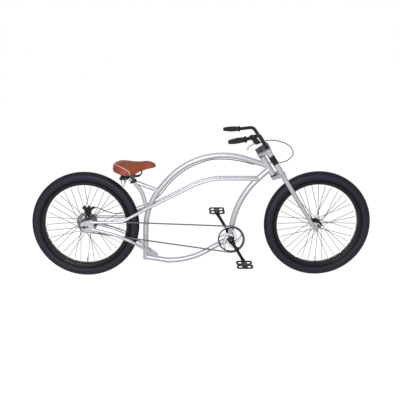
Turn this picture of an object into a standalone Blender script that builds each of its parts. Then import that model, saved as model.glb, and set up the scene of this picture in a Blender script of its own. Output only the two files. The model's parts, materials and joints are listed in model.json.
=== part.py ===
"""Stretched cruiser bicycle with a long arched frame, double-crown fork and single-speed chain drive.

Layout frame: X forward from the rear axle, Y to the rider's left, Z up from the ground, in metres.
The finished model is shifted so that the rider's seat point is the world origin.
"""
from math import acos, atan2, ceil, cos, pi, radians, sin, sqrt, tan

import bmesh
import bpy
from mathutils import Matrix, Vector

# Wheels and their sections
WHEEL_RADIUS = 0.350
TYRE_WIDTH, TYRE_HEIGHT = 0.074, 0.0625
TYRE_PROFILE = ((0.20, 0.92), (0.504, 1.0), (0.84, 0.64))  # share of the height, share of the half width
RIM_WIDTH, RIM_WALL, RIM_LIP, RIM_DEPTH = 0.052, 0.004, 0.0075, 0.015
RIM_EDGE_RADIUS = WHEEL_RADIUS - TYRE_HEIGHT
RIM_SEAT_RADIUS = RIM_EDGE_RADIUS - RIM_LIP
RIM_INNER_RADIUS = RIM_SEAT_RADIUS - RIM_DEPTH
WHEEL_SEGMENTS = 36
SPOKES, SPOKE_CROSSINGS, SPOKE_RADIUS = 36, 3, 0.0010
SPOKE_HOLE_INSET, SPOKE_LEAN, SPOKE_SPREAD = 0.004, 0.0017, 0.004
VALVE_LENGTH, VALVE_RADIUS = 0.026, 0.003

# Clearances
GAP = 0.0003  # face to face gap of pieces that touch
RUN = 0.00035  # radial clearance of a bearing

# Frame tubes
MAIN_RADIUS, DOWN_RADIUS, STAY_RADIUS, MAST_RADIUS = 0.0175, 0.0190, 0.00975, 0.0127
HEAD_RADIUS, SHELL_RADIUS, SHELL_WIDTH = 0.020, 0.021, 0.073

# Layout: the seat tube stands clear of the rear tyre, and the frame is placed from it and from axle height
TYRE_CLEARANCE = 0.0193
SEAT_X, AXLE_Z = WHEEL_RADIUS + TYRE_CLEARANCE + MAIN_RADIUS, WHEEL_RADIUS
CRANK_AHEAD, CRANK_DROP = 0.5622, 0.093
CRANK_X, CRANK_Z = SEAT_X + CRANK_AHEAD, AXLE_Z - CRANK_DROP
FRONT_TYRE_AHEAD = 0.7812
WHEELBASE = SEAT_X + FRONT_TYRE_AHEAD + WHEEL_RADIUS
SEAT_BACK, SEAT_RISE = 0.0676, 0.2962  # seat mast top behind the seat tube, above the axle
RIDER_BACK, RIDER_RISE = 0.0192, 0.1258  # rider's seat point behind and above the mast top
RIDER_X, RIDER_Z = SEAT_X - SEAT_BACK - RIDER_BACK, AXLE_Z + SEAT_RISE + RIDER_RISE

# Tube corners: (ahead of the seat tube, above the axle), and the share of the shorter run that each bend takes
ARCH = ((0.0, -0.2430), (0.0087, 0.1282), (0.3510, 0.5315))
ARCH_BENDS = (0.41, 0.681)
BELLY = ((0.0, -0.2258), (0.1447, -0.2515), (0.2913, -0.2529))
BELLY_BENDS = (0.057, 0.941)
DOWN_RISE, DOWN_LEAN, DOWN_BEND = 0.2628, 0.0233, 0.837
MAST = ((-SEAT_BACK, SEAT_RISE), (-0.0468, 0.2570), (-0.0147, 0.2188), (0.0098, 0.1180))
MAST_BENDS = (0.143, 0.705)
STRUT = ((-0.0478, 0.2790), (0.0872, 0.2255))
RAIL_BENDS, STAY_BENDS = (0.275, 0.088, 0.172, 0.320), (0.085, 0.100, 0.068)
RAIL_FRONT_RISE, RAIL_FRONT_BACK = 0.3049, 0.0035  # front end of the rails on the down tube
GUSSET = ((0.0, -0.2280), (0.0, -0.1640), (0.0252, -0.1640), (0.0552, -0.2100), (0.0552, -0.2280))
GUSSET_THICK = 0.006

# Rear end
DROPOUT_Y, DROPOUT_THICK, DROPOUT_FRONT = 0.0705, 0.006, 0.062
DROPOUT_EDGE = ((-0.026, 0.025), (0.002, 0.038), (0.046, 0.049), (DROPOUT_FRONT, 0.040), (DROPOUT_FRONT, -0.032),
                (0.052, -0.036), (0.016, -0.036), (-0.018, -0.021))  # (ahead of, above) the axle
SLOT_HALF, SLOT_DEPTH, SLOT_TAIL = 0.0053, 0.027, -0.027
STAY_START, STAY_RISE, STAY_DROP = 0.046, 0.031, 0.0125
STAY_TYRE_GAP, STAY_WAIST_GAP = 0.01775, 0.00525  # stays to tyre at its side and behind the seat tube

# Hubs and axles
FLANGE_THICK, BARREL_RADIUS, HUB_END_RADIUS = 0.003, 0.015, 0.011
REAR_FLANGE_Y, REAR_FLANGE_RADIUS = 0.034, 0.033
FRONT_FLANGE_Y, FRONT_FLANGE_RADIUS = 0.034, 0.026
AXLE_RADIUS, NUT_RADIUS, NUT_THICK, AXLE_END, HUB_GAP = 0.005, 0.0095, 0.008, 0.004, 0.0080
ROTOR_RADIUS, ROTOR_THICK, ROTOR_Y = 0.070, 0.0018, 0.050
ROTOR_BORE, ROTOR_BOSS = 0.0137, 0.0240
CALIPER = ((-0.030, -0.006), (-0.012, -0.020), (0.050, -0.023), (0.060, -0.008), (0.052, 0.020), (0.026, 0.038),
           (-0.008, 0.030))  # (ahead of the axle, above the rotor's edge)
CALIPER_INSIDE, CALIPER_OUTSIDE, ROTOR_SLOT_GAP = 0.0125, 0.0135, 0.0006
CALIPER_FOOT, CALIPER_FOOT_FRONT, CALIPER_FOOT_LOW = 0.004, 0.044, 0.022
CABLE_STOP_RADIUS, CABLE_STOP_Y, CABLE_STOP_UP = 0.004, 0.0595, 0.026

# Steering, along the steering axis from the point nearest the front axle
HEAD_TILT = radians(31.8)
RAKE = 0.0782
CROWN_CLEARANCE = 0.088
HEAD_LENGTH, CUP_HEIGHT, CUP_RADIUS = 0.1375, 0.0085, 0.0225
HEAD_LOW = WHEEL_RADIUS + CROWN_CLEARANCE
HEAD_HIGH = HEAD_LOW + HEAD_LENGTH
ARCH_ON_HEAD, DOWN_ON_HEAD = 0.065, 0.044
LOWER_CROWN_THICK, UPPER_CROWN_THICK, CROWN_BOSS, CROWN_WALL = 0.024, 0.020, 0.0215, 0.006
LOWER_CROWN = HEAD_LOW - CUP_HEIGHT - 2 * GAP - LOWER_CROWN_THICK
UPPER_CROWN = HEAD_HIGH + CUP_HEIGHT + 2 * GAP
LEG_AHEAD, LEG_Y, LEG_RADIUS, LEG_FOOT = 0.048, 0.058, 0.0150, -0.020
LEG_TOP = UPPER_CROWN + UPPER_CROWN_THICK - 0.0046
COLLAR_RADIUS, COLLAR_BELOW = 0.0175, 0.010
SLEEVE_RADIUS, SLEEVE_UP, SLEEVE_LENGTH = 0.0190, 0.061, 0.060
SLEEVE_LOW = HEAD_LOW + SLEEVE_UP
SLEEVE_HIGH = SLEEVE_LOW + SLEEVE_LENGTH
STEERER_RADIUS = 0.0143
FORK_INNER, FORK_PLATE = 0.0500, 0.006
STEM_HEIGHT, STEM_BACK_RADIUS, STEM_HALF = 0.030, 0.0190, 0.0165
STEM_LOW = UPPER_CROWN + UPPER_CROWN_THICK + 0.0039
STEERER_TOP = STEM_LOW + STEM_HEIGHT + 0.0015
BAR_RADIUS, BAR_AHEAD, BAR_RISE = 0.0111, 0.0520, 0.0075
BAR_HEIGHT = STEM_LOW + BAR_RISE
BAR_SHAPE = ((0.0, 0.050, 0.0), (-0.0025, 0.1850, 0.1220), (-0.0786, 0.2450, 0.1490), (-0.1782, 0.2980, 0.1990))
BAR_BENDS = (0.231, 0.283, 0.055)
BAR_CLAMP_WALL, BAR_CLAMP_HALF = 0.0065, 0.022
GRIP_INSET, GRIP_RADIUS, GRIP_END_RADIUS, GRIP_FLANGE_RADIUS = 0.022, 0.0175, 0.0150, 0.0215

# Brake lever: (ahead, out, up) from the bar clamp, with a thickness factor at each point
PERCH_WALL, PERCH_HALF, PERCH_SHARE = 0.005, 0.008, 0.62
LEVER_BODY_RADIUS, LEVER_BLADE_RADIUS = 0.0060, 0.0045
LEVER_BODY = ((-0.0217, -0.1862, 0.0783), (-0.0400, -0.1969, 0.0842), (-0.0490, -0.2070, 0.0960),
              (-0.0497, -0.2185, 0.1240))
LEVER_BODY_FACTORS = (0.75, 0.75, 1.35, 1.2)
LEVER_BLADE = ((-0.0520, -0.2080, 0.0970), (-0.0709, -0.2175, 0.0975), (-0.0952, -0.2330, 0.1030),
               (-0.1088, -0.2430, 0.0890))
LEVER_BLADE_FACTORS = (1.1, 1.1, 0.9, 1.2)

# Drivetrain
CHAIN_PITCH, CHAIN_LINE = 0.0127, 0.048
RING_TEETH, COG_TEETH = 44, 18
SPROCKET_THICK, TOOTH_HEIGHT, ROLLER_RADIUS = 0.0029, 0.0030, 0.0040
RING_RIM, RING_BOSS_RADIUS, RING_ARMS = 0.0085, 0.026, 5  # rim depth under the tooth roots
CHAIN_HALF_WIDE, CHAIN_HALF_NARROW, CHAIN_HALF_HIGH, CHAIN_HALF_WAIST = 0.0042, 0.0031, 0.0043, 0.0032
DRUM_RADIUS, DRUM_OUT, DRUM_IN = 0.0270, 0.0080, 0.0060
CRANK_LENGTH, CRANK_ANGLE = 0.170, radians(30.3)
CRANK_THICK, CRANK_OUT = 0.0125, 0.010
CRANK_IN = CHAIN_LINE + CRANK_OUT
CRANK_EYE, CRANK_TIP, CRANK_BOSS = 0.0175, 0.0125, 0.0205
SPINDLE_RADIUS = 0.0085
PEDAL_LENGTH, PEDAL_WIDTH, PEDAL_HIGH, PEDAL_CLEARANCE = 0.106, 0.088, 0.026, 0.0155
PEDAL_Y = CRANK_IN + CRANK_THICK + PEDAL_CLEARANCE + PEDAL_WIDTH / 2
PEDAL_PIN_RADIUS, PEDAL_BARREL_RADIUS, PEDAL_PLATE, PEDAL_BAR = 0.0065, 0.0110, 0.006, 0.0040
PEDAL_HOLE_LENGTH, PEDAL_HOLE_WIDTH = 0.016, 0.011
PEDAL_HOLES, PEDAL_BARS = (-0.040, -0.0205, 0.0205, 0.040), (-0.0302, 0.0302)

# Saddle sections: (ahead of, half width, top above, skirt above) the rider's seat point
SADDLE = (
    (-0.1110, 0.048, -0.022, -0.048),
    (-0.0950, 0.080, -0.008, -0.062),
    (-0.0600, 0.101, 0.004, -0.072),
    (-0.0150, 0.105, 0.002, -0.080),
    (0.0250, 0.088, -0.005, -0.078),
    (0.0650, 0.060, -0.006, -0.068),
    (0.1050, 0.040, -0.002, -0.056),
    (0.1400, 0.031, -0.009, -0.046),
    (0.1640, 0.016, -0.030, -0.040),
)
SADDLE_CROWN = ((-1.00, 0.05), (-0.99, 0.42), (-0.88, 0.74), (-0.60, 0.93), (-0.25, 1.0))  # half of a section
PAN_X, PAN_Z, PAN_SLOPE, PAN_HALF = -0.050, -0.072, 0.12, 0.86
RAIL_Y, RAIL_RADIUS, RAIL_Z = 0.022, 0.0035, -0.1015
WIRE_NOSE, WIRE_FRONT, WIRE_REAR, WIRE_BENDS = 0.072, 0.030, -0.035, (0.569, 0.034)
BRACKET_BACK, BRACKET_FRONT, BRACKET_LOW, BRACKET_HIGH = -0.068, -0.010, -0.112, -0.090
BRACKET_END, POST_Y, POST_BACK, POST_FRONT, POST_HALF = 0.012, 0.036, -0.054, -0.038, 0.006
SPRING_X, SPRING_Y, SPRING_LOW, SPRING_TOP = -0.042, 0.052, -0.155, 0.002
SPRING_TOP_RADIUS, SPRING_END_RADIUS = 0.019, 0.008
COLLAR_WALL, COLLAR_HEIGHT, POST_RADIUS, POST_LENGTH = 0.0045, 0.0162, 0.0110, 0.0170
CLAMP_BACK, CLAMP_FRONT, CLAMP_LOW, CLAMP_HIGH, CLAMP_OVER = -0.002, 0.030, -0.116, -0.092, 0.0065
QUICK_LEVER = ((-0.0225, -0.0040, -0.0085), (-0.0240, -0.0130, -0.0085), (-0.0440, -0.0150, -0.0060),
               (-0.0640, -0.0140, 0.0000))
QUICK_LEVER_RADIUS = 0.0035

# Brake cable, x, y, z by hand along its real route
CABLE_RADIUS = 0.0025
CABLE_ON_FRAME = [
    (1.160, 0.028, 0.748), (1.120, 0.021, 0.742), (1.080, 0.008, 0.748), (1.042, 0.000, 0.760),
    (0.967, 0.000, 0.775), (0.889, 0.000, 0.781), (0.812, 0.000, 0.776), (0.723, 0.000, 0.746),
    (0.671, 0.000, 0.721), (0.619, 0.000, 0.686), (0.567, 0.000, 0.640), (0.530, 0.004, 0.596),
    (0.500, 0.016, 0.556), (0.465, 0.025, 0.518), (0.425, 0.032, 0.491), (0.380, 0.040, 0.470),
    (0.332, 0.050, 0.449), (0.290, 0.058, 0.426), (0.250, 0.063, 0.409), (0.197, 0.066, 0.404),
    (0.151, 0.066, 0.411), (0.118, 0.0645, 0.423), (0.088, 0.0615, 0.438), (0.070, 0.0600, 0.4455),
    (0.0565, 0.0595, 0.4460),
]
CABLE_LOOP = [
    (1.1605, 0.0281, 0.7480), (1.185, 0.031, 0.751), (1.215, 0.028, 0.750), (1.250, 0.018, 0.752),
    (1.298, 0.000, 0.766), (1.328, -0.022, 0.794), (1.338, -0.045, 0.828), (1.316, -0.074, 0.868),
    (1.276, -0.102, 0.898), (1.228, -0.128, 0.916), (1.182, -0.150, 0.925), (1.140, -0.170, 0.922),
    (1.112, -0.186, 0.915),
]

COLOURS = {  # name: colour, roughness, metallic
    "silver": ((0.72, 0.72, 0.75), 0.28, 0.85),
    "polished": ((0.80, 0.80, 0.82), 0.12, 1.0),
    "black_metal": ((0.020, 0.020, 0.024), 0.40, 0.4),
    "dark_grey": ((0.080, 0.080, 0.095), 0.42, 0.6),
    "rubber": ((0.020, 0.022, 0.030), 0.75, 0.0),
    "spoke_grey": ((0.42, 0.42, 0.45), 0.35, 0.9),
    "chain_grey": ((0.30, 0.30, 0.32), 0.38, 0.9),
    "leather": ((0.30, 0.090, 0.045), 0.55, 0.0),
    "grip_black": ((0.015, 0.015, 0.017), 0.65, 0.0),
    "cable_black": ((0.030, 0.030, 0.034), 0.50, 0.0),
}
SIDES = (("right", -1), ("left", 1))
LATERAL = Matrix.Rotation(-pi / 2, 4, "X")  # turns a piece's own Z axis to world Y
UPRIGHT = Matrix.Rotation(pi / 2, 4, "X")  # stands a flat outline up in X and Z
TO_FRONT = Matrix.Rotation(pi / 2, 4, "Y")  # turns a piece's own Z axis to world X


def clear_scene():
    for old in list(bpy.data.objects):
        bpy.data.objects.remove(old, do_unlink=True)


def material(name):
    found = bpy.data.materials.get(name)
    if found:
        return found
    colour, roughness, metallic = COLOURS[name]
    made = bpy.data.materials.new(name)
    made.use_nodes = True
    shader = made.node_tree.nodes["Principled BSDF"]
    shader.inputs["Base Color"].default_value = (*colour, 1)
    shader.inputs["Roughness"].default_value = roughness
    shader.inputs["Metallic"].default_value = metallic
    made.diffuse_color = (*colour, 1)
    return made


def empty(name, location=(0, 0, 0), parent=None, turn=None):
    holder = bpy.data.objects.new(name, None)
    bpy.context.collection.objects.link(holder)
    holder.parent = parent
    holder.location = location
    if turn is not None:
        holder.rotation_euler = turn
    return holder


def piece(name, mesh, finish, parent, place=None):
    """One named solid, placed by its own matrix under its parent."""
    solid = bpy.data.objects.new(name, mesh)
    bpy.context.collection.objects.link(solid)
    solid.parent = parent
    if place is not None:
        solid.matrix_local = place
    mesh.materials.append(material(finish))
    mesh.shade_smooth()
    mesh.set_sharp_from_angle(angle=radians(35))
    return solid


def tool(name, mesh, parent, place=None):
    """A helper solid for a Boolean, not part of the model."""
    helper = bpy.data.objects.new(name, mesh)
    bpy.context.collection.objects.link(helper)
    helper.parent = parent
    if place is not None:
        helper.matrix_local = place
    helper.hide_render = True
    helper.display_type = "WIRE"
    return helper


def combine(solid, helpers, operation):
    for helper in helpers:
        step = solid.modifiers.new(helper.name, "BOOLEAN")
        step.operation = operation
        step.solver = "EXACT"
        step.object = helper


def cut(solid, *helpers):
    combine(solid, helpers, "DIFFERENCE")


def fuse(solid, *helpers):
    combine(solid, helpers, "UNION")


def finish_mesh(bm, name):
    bmesh.ops.recalc_face_normals(bm, faces=bm.faces)
    mesh = bpy.data.meshes.new(name)
    bm.to_mesh(mesh)
    bm.free()
    return mesh


def bent_path(corners, bends, step=radians(10)):
    """Points along straight runs joined by arcs; each bend takes its share of the shorter run beside it."""
    corners = [Vector(corner) for corner in corners]
    points = [corners[0]]
    for before, corner, after, share in zip(corners, corners[1:], corners[2:], bends):
        back, ahead = (before - corner).normalized(), (after - corner).normalized()
        half = acos(max(-1, min(1, back.dot(ahead)))) / 2
        setback = share * min((before - corner).length, (after - corner).length)
        radius = setback * tan(half)
        centre = corner + (back + ahead).normalized() * radius / sin(half)
        across = (corner + back * setback - centre).normalized()
        turn = pi - 2 * half
        count = max(2, ceil(turn / step))
        for index in range(count + 1):
            angle = turn * index / count
            points.append(centre + radius * (cos(angle) * across - sin(angle) * back))
    points.append(corners[-1])
    return points


def smooth_path(points, between=2):
    """Catmull-Rom curve through points set by hand."""
    route = [Vector(point) for point in points]
    route = [2 * route[0] - route[1]] + route + [2 * route[-1] - route[-2]]
    path = []
    for a, b, c, d in zip(route, route[1:], route[2:], route[3:]):
        for index in range(between):
            t = index / between
            path.append(0.5 * (2 * b + (c - a) * t + (2 * a - 5 * b + 4 * c - d) * t ** 2
                               + (3 * b - a - 3 * c + d) * t ** 3))
    path.append(route[-2])
    return path


def in_frame(corners):
    """Layout points in the middle plane from (ahead of the seat tube, above the axle)."""
    return [Vector((SEAT_X + ahead, 0, AXLE_Z + up)) for ahead, up in corners]


def on_steering(up, ahead=0.0):
    """Layout point on the steering axis, or ahead of it."""
    foot_x, foot_z = WHEELBASE - RAKE * cos(HEAD_TILT), AXLE_Z - RAKE * sin(HEAD_TILT)
    return Vector((foot_x + ahead * cos(HEAD_TILT) - up * sin(HEAD_TILT), 0,
                   foot_z + ahead * sin(HEAD_TILT) + up * cos(HEAD_TILT)))


def down_corners():
    crank = Vector((CRANK_X, 0, CRANK_Z))
    return [crank, crank + Vector((DOWN_LEAN, 0, DOWN_RISE)), on_steering(HEAD_LOW + DOWN_ON_HEAD)]


def point_at_height(path, height):
    for low, high in zip(path, path[1:]):
        if low.z <= height <= high.z:
            return low.lerp(high, (height - low.z) / (high.z - low.z))
    return path[-1]


def sweep(name, points, radius, sides=12, radii=None):
    """Round bar along points with flat ends; radii are factors of the radius at each point."""
    curve = bpy.data.curves.new(name, "CURVE")
    curve.dimensions = "3D"
    curve.bevel_depth = radius
    curve.bevel_resolution = sides // 2 - 2
    curve.use_fill_caps = True
    spline = curve.splines.new("POLY")
    spline.points.add(len(points) - 1)
    for index, point in enumerate(points):
        spline.points[index].co = (*point, 1)
        spline.points[index].radius = radii[index] if radii else 1
    holder = bpy.data.objects.new(name, curve)
    bm = bmesh.new()
    bm.from_mesh(holder.to_mesh())
    bpy.data.objects.remove(holder)
    bmesh.ops.remove_doubles(bm, verts=bm.verts, dist=1e-6)
    return finish_mesh(bm, name)


def turned(name, profile, segments=24, ring=False):
    """Solid of revolution about Z from (radius, z) points; a ring's profile closes on itself."""
    bm = bmesh.new()
    verts = [bm.verts.new((radius, 0, z)) for radius, z in profile]
    edges = [bm.edges.new(pair) for pair in zip(verts, verts[1:])]
    if ring:
        edges.append(bm.edges.new((verts[-1], verts[0])))
    bmesh.ops.spin(bm, geom=verts + edges, axis=(0, 0, 1), cent=(0, 0, 0), steps=segments, angle=2 * pi)
    bmesh.ops.remove_doubles(bm, verts=bm.verts, dist=1e-6)
    on_axis = [edge for edge in bm.edges if not edge.link_faces]
    bmesh.ops.delete(bm, geom=on_axis, context="EDGES")
    return finish_mesh(bm, name)


def cylinder(name, radius, low, high, segments=24, bore=None):
    if bore:
        return turned(name, [(bore, low), (radius, low), (radius, high), (bore, high)], segments, True)
    return turned(name, [(0, low), (radius, low), (radius, high), (0, high)], segments)


def plate(name, outlines, low, high):
    """Flat plate between two heights; the first outline is its edge, the others are windows."""
    bm = bmesh.new()
    edges = []
    for outline in outlines:
        verts = [bm.verts.new((x, y, low)) for x, y in outline]
        edges += [bm.edges.new(pair) for pair in zip(verts, verts[1:] + verts[:1])]
    bmesh.ops.triangle_fill(bm, edges=edges, use_beauty=True)
    grown = bmesh.ops.extrude_face_region(bm, geom=bm.faces[:])
    top = [item for item in grown["geom"] if isinstance(item, bmesh.types.BMVert)]
    bmesh.ops.translate(bm, verts=top, vec=(0, 0, high - low))
    bmesh.ops.dissolve_limit(bm, angle_limit=radians(0.5), verts=bm.verts, edges=bm.edges,
                             delimit={"NORMAL"})
    return finish_mesh(bm, name)


def box(name, low, high):
    bm = bmesh.new()
    bmesh.ops.create_cube(bm, size=1)
    for vert in bm.verts:
        vert.co = [a + (b - a) * (c + 0.5) for a, b, c in zip(low, high, vert.co)]
    return finish_mesh(bm, name)


def arc_points(centre, radius, start, end, count):
    return [(centre[0] + radius * cos(start + (end - start) * index / count),
             centre[1] + radius * sin(start + (end - start) * index / count)) for index in range(count + 1)]


def oblong(centre, length, width, count=6):
    """Outline of a slot with round ends along X."""
    half = (length - width) / 2
    right = arc_points((centre[0] + half, centre[1]), width / 2, -pi / 2, pi / 2, count)
    left = arc_points((centre[0] - half, centre[1]), width / 2, pi / 2, 3 * pi / 2, count)
    return right + left


def tapered_outline(length, near_radius, far_radius, count=8):
    """Outline of a bar from the origin to (length, 0) with a round end at each."""
    lean = acos((near_radius - far_radius) / length)
    far = arc_points((length, 0), far_radius, -lean, lean, count)
    near = arc_points((0, 0), near_radius, lean, 2 * pi - lean, count)
    return far + near


def joined(name, meshes):
    """Several meshes in one, for a helper that a Boolean reads at once."""
    bm = bmesh.new()
    for mesh in meshes:
        bm.from_mesh(mesh)
    return finish_mesh(bm, name)


def along(start, end):
    """Matrix that puts a turned piece's Z axis on the line from start to end."""
    start, end = Vector(start), Vector(end)
    return Matrix.Translation(start) @ (end - start).to_track_quat("Z", "Y").to_matrix().to_4x4()


def tilted(origin, up):
    """Matrix at a point with its Z axis along a direction in the XZ plane and its Y axis kept."""
    turn = Matrix(((up.z, 0, up.x), (0, 1, 0), (-up.x, 0, up.z))).to_4x4()
    return Matrix.Translation(origin) @ turn


def build_tubes(bicycle, steering):
    arch_path = bent_path(in_frame(ARCH) + [on_steering(HEAD_LOW + ARCH_ON_HEAD)], ARCH_BENDS)
    arch = piece("arch_seat_tube", sweep("arch", arch_path, MAIN_RADIUS, 12), "silver", bicycle)
    arch_cut = tool("arch_cutter", sweep("arch_cutter", arch_path, MAIN_RADIUS + GAP, 12), bicycle)
    head_cut = tool("head_cutter", cylinder("head_cutter", HEAD_RADIUS + GAP, HEAD_LOW - HEAD_RADIUS,
                                            HEAD_HIGH + HEAD_RADIUS), steering)
    shell_cut = tool("shell_cutter", cylinder("shell_cutter", SHELL_RADIUS + GAP, -SHELL_WIDTH, SHELL_WIDTH),
                     bicycle, Matrix.Translation((CRANK_X, 0, CRANK_Z)) @ LATERAL)
    cut(arch, head_cut)
    belly_path = bent_path(in_frame(BELLY) + [Vector((CRANK_X, 0, CRANK_Z))], BELLY_BENDS)
    belly = piece("belly_tube", sweep("belly", belly_path, MAIN_RADIUS, 12), "silver", bicycle)
    cut(belly, arch_cut, shell_cut)
    down_path = bent_path(down_corners(), (DOWN_BEND,))
    down = piece("down_tube", sweep("down", down_path, DOWN_RADIUS, 12), "silver", bicycle)
    cut(down, head_cut, arch_cut, shell_cut)
    shell = cylinder("shell", SHELL_RADIUS, -SHELL_WIDTH / 2, SHELL_WIDTH / 2, 24, SPINDLE_RADIUS + RUN)
    piece("bottom_bracket_shell", shell, "silver", bicycle, Matrix.Translation((CRANK_X, 0, CRANK_Z)) @ LATERAL)
    mast_path = bent_path(in_frame(MAST), MAST_BENDS)
    mast = piece("seat_mast", sweep("mast", mast_path, MAST_RADIUS, 12), "silver", bicycle)
    mast_cut = tool("mast_cutter", sweep("mast_cutter", mast_path, MAST_RADIUS + GAP, 12), bicycle)
    strut = piece("seat_strut", sweep("strut", in_frame(STRUT), MAST_RADIUS, 12), "silver", bicycle)
    cut(mast, arch_cut)
    cut(strut, mast_cut, arch_cut)
    gusset = piece("corner_gusset", plate("gusset", [GUSSET], -GUSSET_THICK / 2, GUSSET_THICK / 2), "silver",
                   bicycle, Matrix.Translation((SEAT_X, 0, AXLE_Z)) @ UPRIGHT)
    belly_cut = tool("belly_cutter", sweep("belly_cutter", belly_path, MAIN_RADIUS + GAP, 12), bicycle)
    cut(gusset, arch_cut, belly_cut)
    return strut


def build_head(bicycle, steering):
    """Head tube and the two bearing cups, placed in the steering frame but fixed to the bicycle."""
    head = cylinder("head", HEAD_RADIUS, HEAD_LOW, HEAD_HIGH, 24, STEERER_RADIUS + 0.002)
    piece("head_tube", head, "silver", steering)
    for name, low in (("headset_upper", HEAD_HIGH + GAP), ("headset_lower", HEAD_LOW - GAP - CUP_HEIGHT)):
        cup = cylinder(name, CUP_RADIUS, low, low + CUP_HEIGHT, 20, STEERER_RADIUS + RUN)
        piece(name, cup, "black_metal", steering)


def build_stays(bicycle):
    beside_main = MAIN_RADIUS + STAY_RADIUS + GAP
    beside_down = DOWN_RADIUS + STAY_RADIUS + GAP
    wide = TYRE_WIDTH / 2 + STAY_TYRE_GAP + STAY_RADIUS
    waist = TYRE_WIDTH / 2 + STAY_WAIST_GAP + STAY_RADIUS
    front = point_at_height(bent_path(down_corners(), (DOWN_BEND,)), AXLE_Z + RAIL_FRONT_RISE)
    for side_name, side in SIDES:
        rail = [(STAY_START - SEAT_X, DROPOUT_Y, STAY_RISE), (-0.1468, wide, STAY_RISE), (-0.0688, waist, 0.070),
                (0.0052, beside_main, 0.1050), (0.4085, beside_main, 0.3066),
                (front.x - RAIL_FRONT_BACK - SEAT_X, beside_down, RAIL_FRONT_RISE)]
        stay = [(STAY_START - SEAT_X, DROPOUT_Y, -STAY_DROP), (-0.1968, wide, -0.0540),
                (-0.0868, wide - 0.0025, -0.1025), (0.0062, beside_main + GAP, -0.1700), (0.0782, 0.0197, -0.2190)]
        middle = side * DROPOUT_Y
        half = DROPOUT_THICK / 2 + GAP
        slot_mesh = box("slot", (-DROPOUT_FRONT, middle - half, -DROPOUT_FRONT),
                        (DROPOUT_FRONT + GAP, middle + half, DROPOUT_FRONT))
        slot = tool(f"dropout_slot_{side_name}", slot_mesh, bicycle, Matrix.Translation((0, 0, AXLE_Z)))
        upper = piece(f"upper_rail_{side_name}", stay_tube("rail", rail, RAIL_BENDS, side), "silver", bicycle)
        lower = piece(f"chainstay_{side_name}", stay_tube("stay", stay, STAY_BENDS, side), "silver", bicycle)
        cut(upper, slot)
        cut(lower, slot)
        build_dropout(bicycle, side_name, side)


def stay_tube(name, corners, bends, side):
    points = [(SEAT_X + ahead, side * y, AXLE_Z + up) for ahead, y, up in corners]
    return sweep(name, bent_path(points, bends), STAY_RADIUS, 8)


def build_dropout(bicycle, side_name, side):
    """Plate with a slot open to the rear for the axle; drawn in X and Z from the axle."""
    slot = arc_points((SLOT_DEPTH - SLOT_HALF, 0), SLOT_HALF, -pi / 2, pi / 2, 6)
    outline = [(SLOT_TAIL, -SLOT_HALF)] + slot + [(SLOT_TAIL, SLOT_HALF)] + list(DROPOUT_EDGE)
    mesh = plate("dropout", [outline], -DROPOUT_THICK / 2, DROPOUT_THICK / 2)
    piece(f"rear_dropout_{side_name}", mesh, "silver", bicycle,
          Matrix.Translation((0, side * DROPOUT_Y, AXLE_Z)) @ UPRIGHT)


def build_wheel(name, hub_axle, flange_y, flange_radius, half_hub, extra):
    inner = RIM_WIDTH / 2 - RIM_WALL - GAP
    half = TYRE_WIDTH / 2
    left = [(RIM_SEAT_RADIUS + GAP, -inner), (RIM_EDGE_RADIUS + 0.001, -inner)]
    left += [(RIM_EDGE_RADIUS + TYRE_HEIGHT * high, -half * wide) for high, wide in TYRE_PROFILE]
    profile = left + [(WHEEL_RADIUS, 0)] + [(radius, -z) for radius, z in reversed(left)]
    piece(f"{name}_tyre", turned("tyre", profile, WHEEL_SEGMENTS, True), "rubber", hub_axle)
    build_rim(name, hub_axle)
    build_hub(name, hub_axle, flange_y, flange_radius, half_hub, extra)


def build_rim(name, hub_axle):
    half = RIM_WIDTH / 2
    left = [(RIM_SEAT_RADIUS, -(half - RIM_WALL)), (RIM_EDGE_RADIUS, -(half - RIM_WALL)), (RIM_EDGE_RADIUS, -half),
            (RIM_INNER_RADIUS + RIM_DEPTH / 2, -half), (RIM_INNER_RADIUS, -0.55 * half)]
    profile = left + [(radius, -z) for radius, z in reversed(left)]
    rim = piece(f"{name}_rim", turned("rim", profile, WHEEL_SEGMENTS, True), "black_metal", hub_axle)
    stem = cylinder("valve", VALVE_RADIUS, 0, VALVE_LENGTH + RIM_WALL, 8)
    start = Vector((0, RIM_INNER_RADIUS + RIM_WALL, 0))
    fuse(rim, tool(f"{name}_valve", stem, hub_axle, along(start, (0, 0, 0))))


def spoke_ends(index, flange_y, flange_radius):
    """Hub end and rim end of one spoke in the wheel's own frame."""
    per_flange = SPOKES // 2
    flange, number = divmod(index, per_flange)
    side = 1 if flange else -1
    lean = 1 if number % 2 else -1
    hub_angle = 2 * pi * (number + flange / 2) / per_flange
    rim_angle = hub_angle + lean * 2 * pi * SPOKE_CROSSINGS / per_flange
    hole = flange_radius - SPOKE_HOLE_INSET
    at_hub = side * (flange_y + lean * SPOKE_LEAN)
    reach = RIM_INNER_RADIUS * cos(pi / WHEEL_SEGMENTS) - 2 * GAP
    hub_end = Vector((hole * cos(hub_angle), hole * sin(hub_angle), at_hub))
    rim_end = Vector((reach * cos(rim_angle), reach * sin(rim_angle), side * SPOKE_SPREAD))
    return hub_end, rim_end


def spoke(hub_end, rim_end):
    bar = cylinder("spoke", SPOKE_RADIUS, 0, (rim_end - hub_end).length, 3)
    bar.transform(along(hub_end, rim_end))
    return bar


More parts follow.
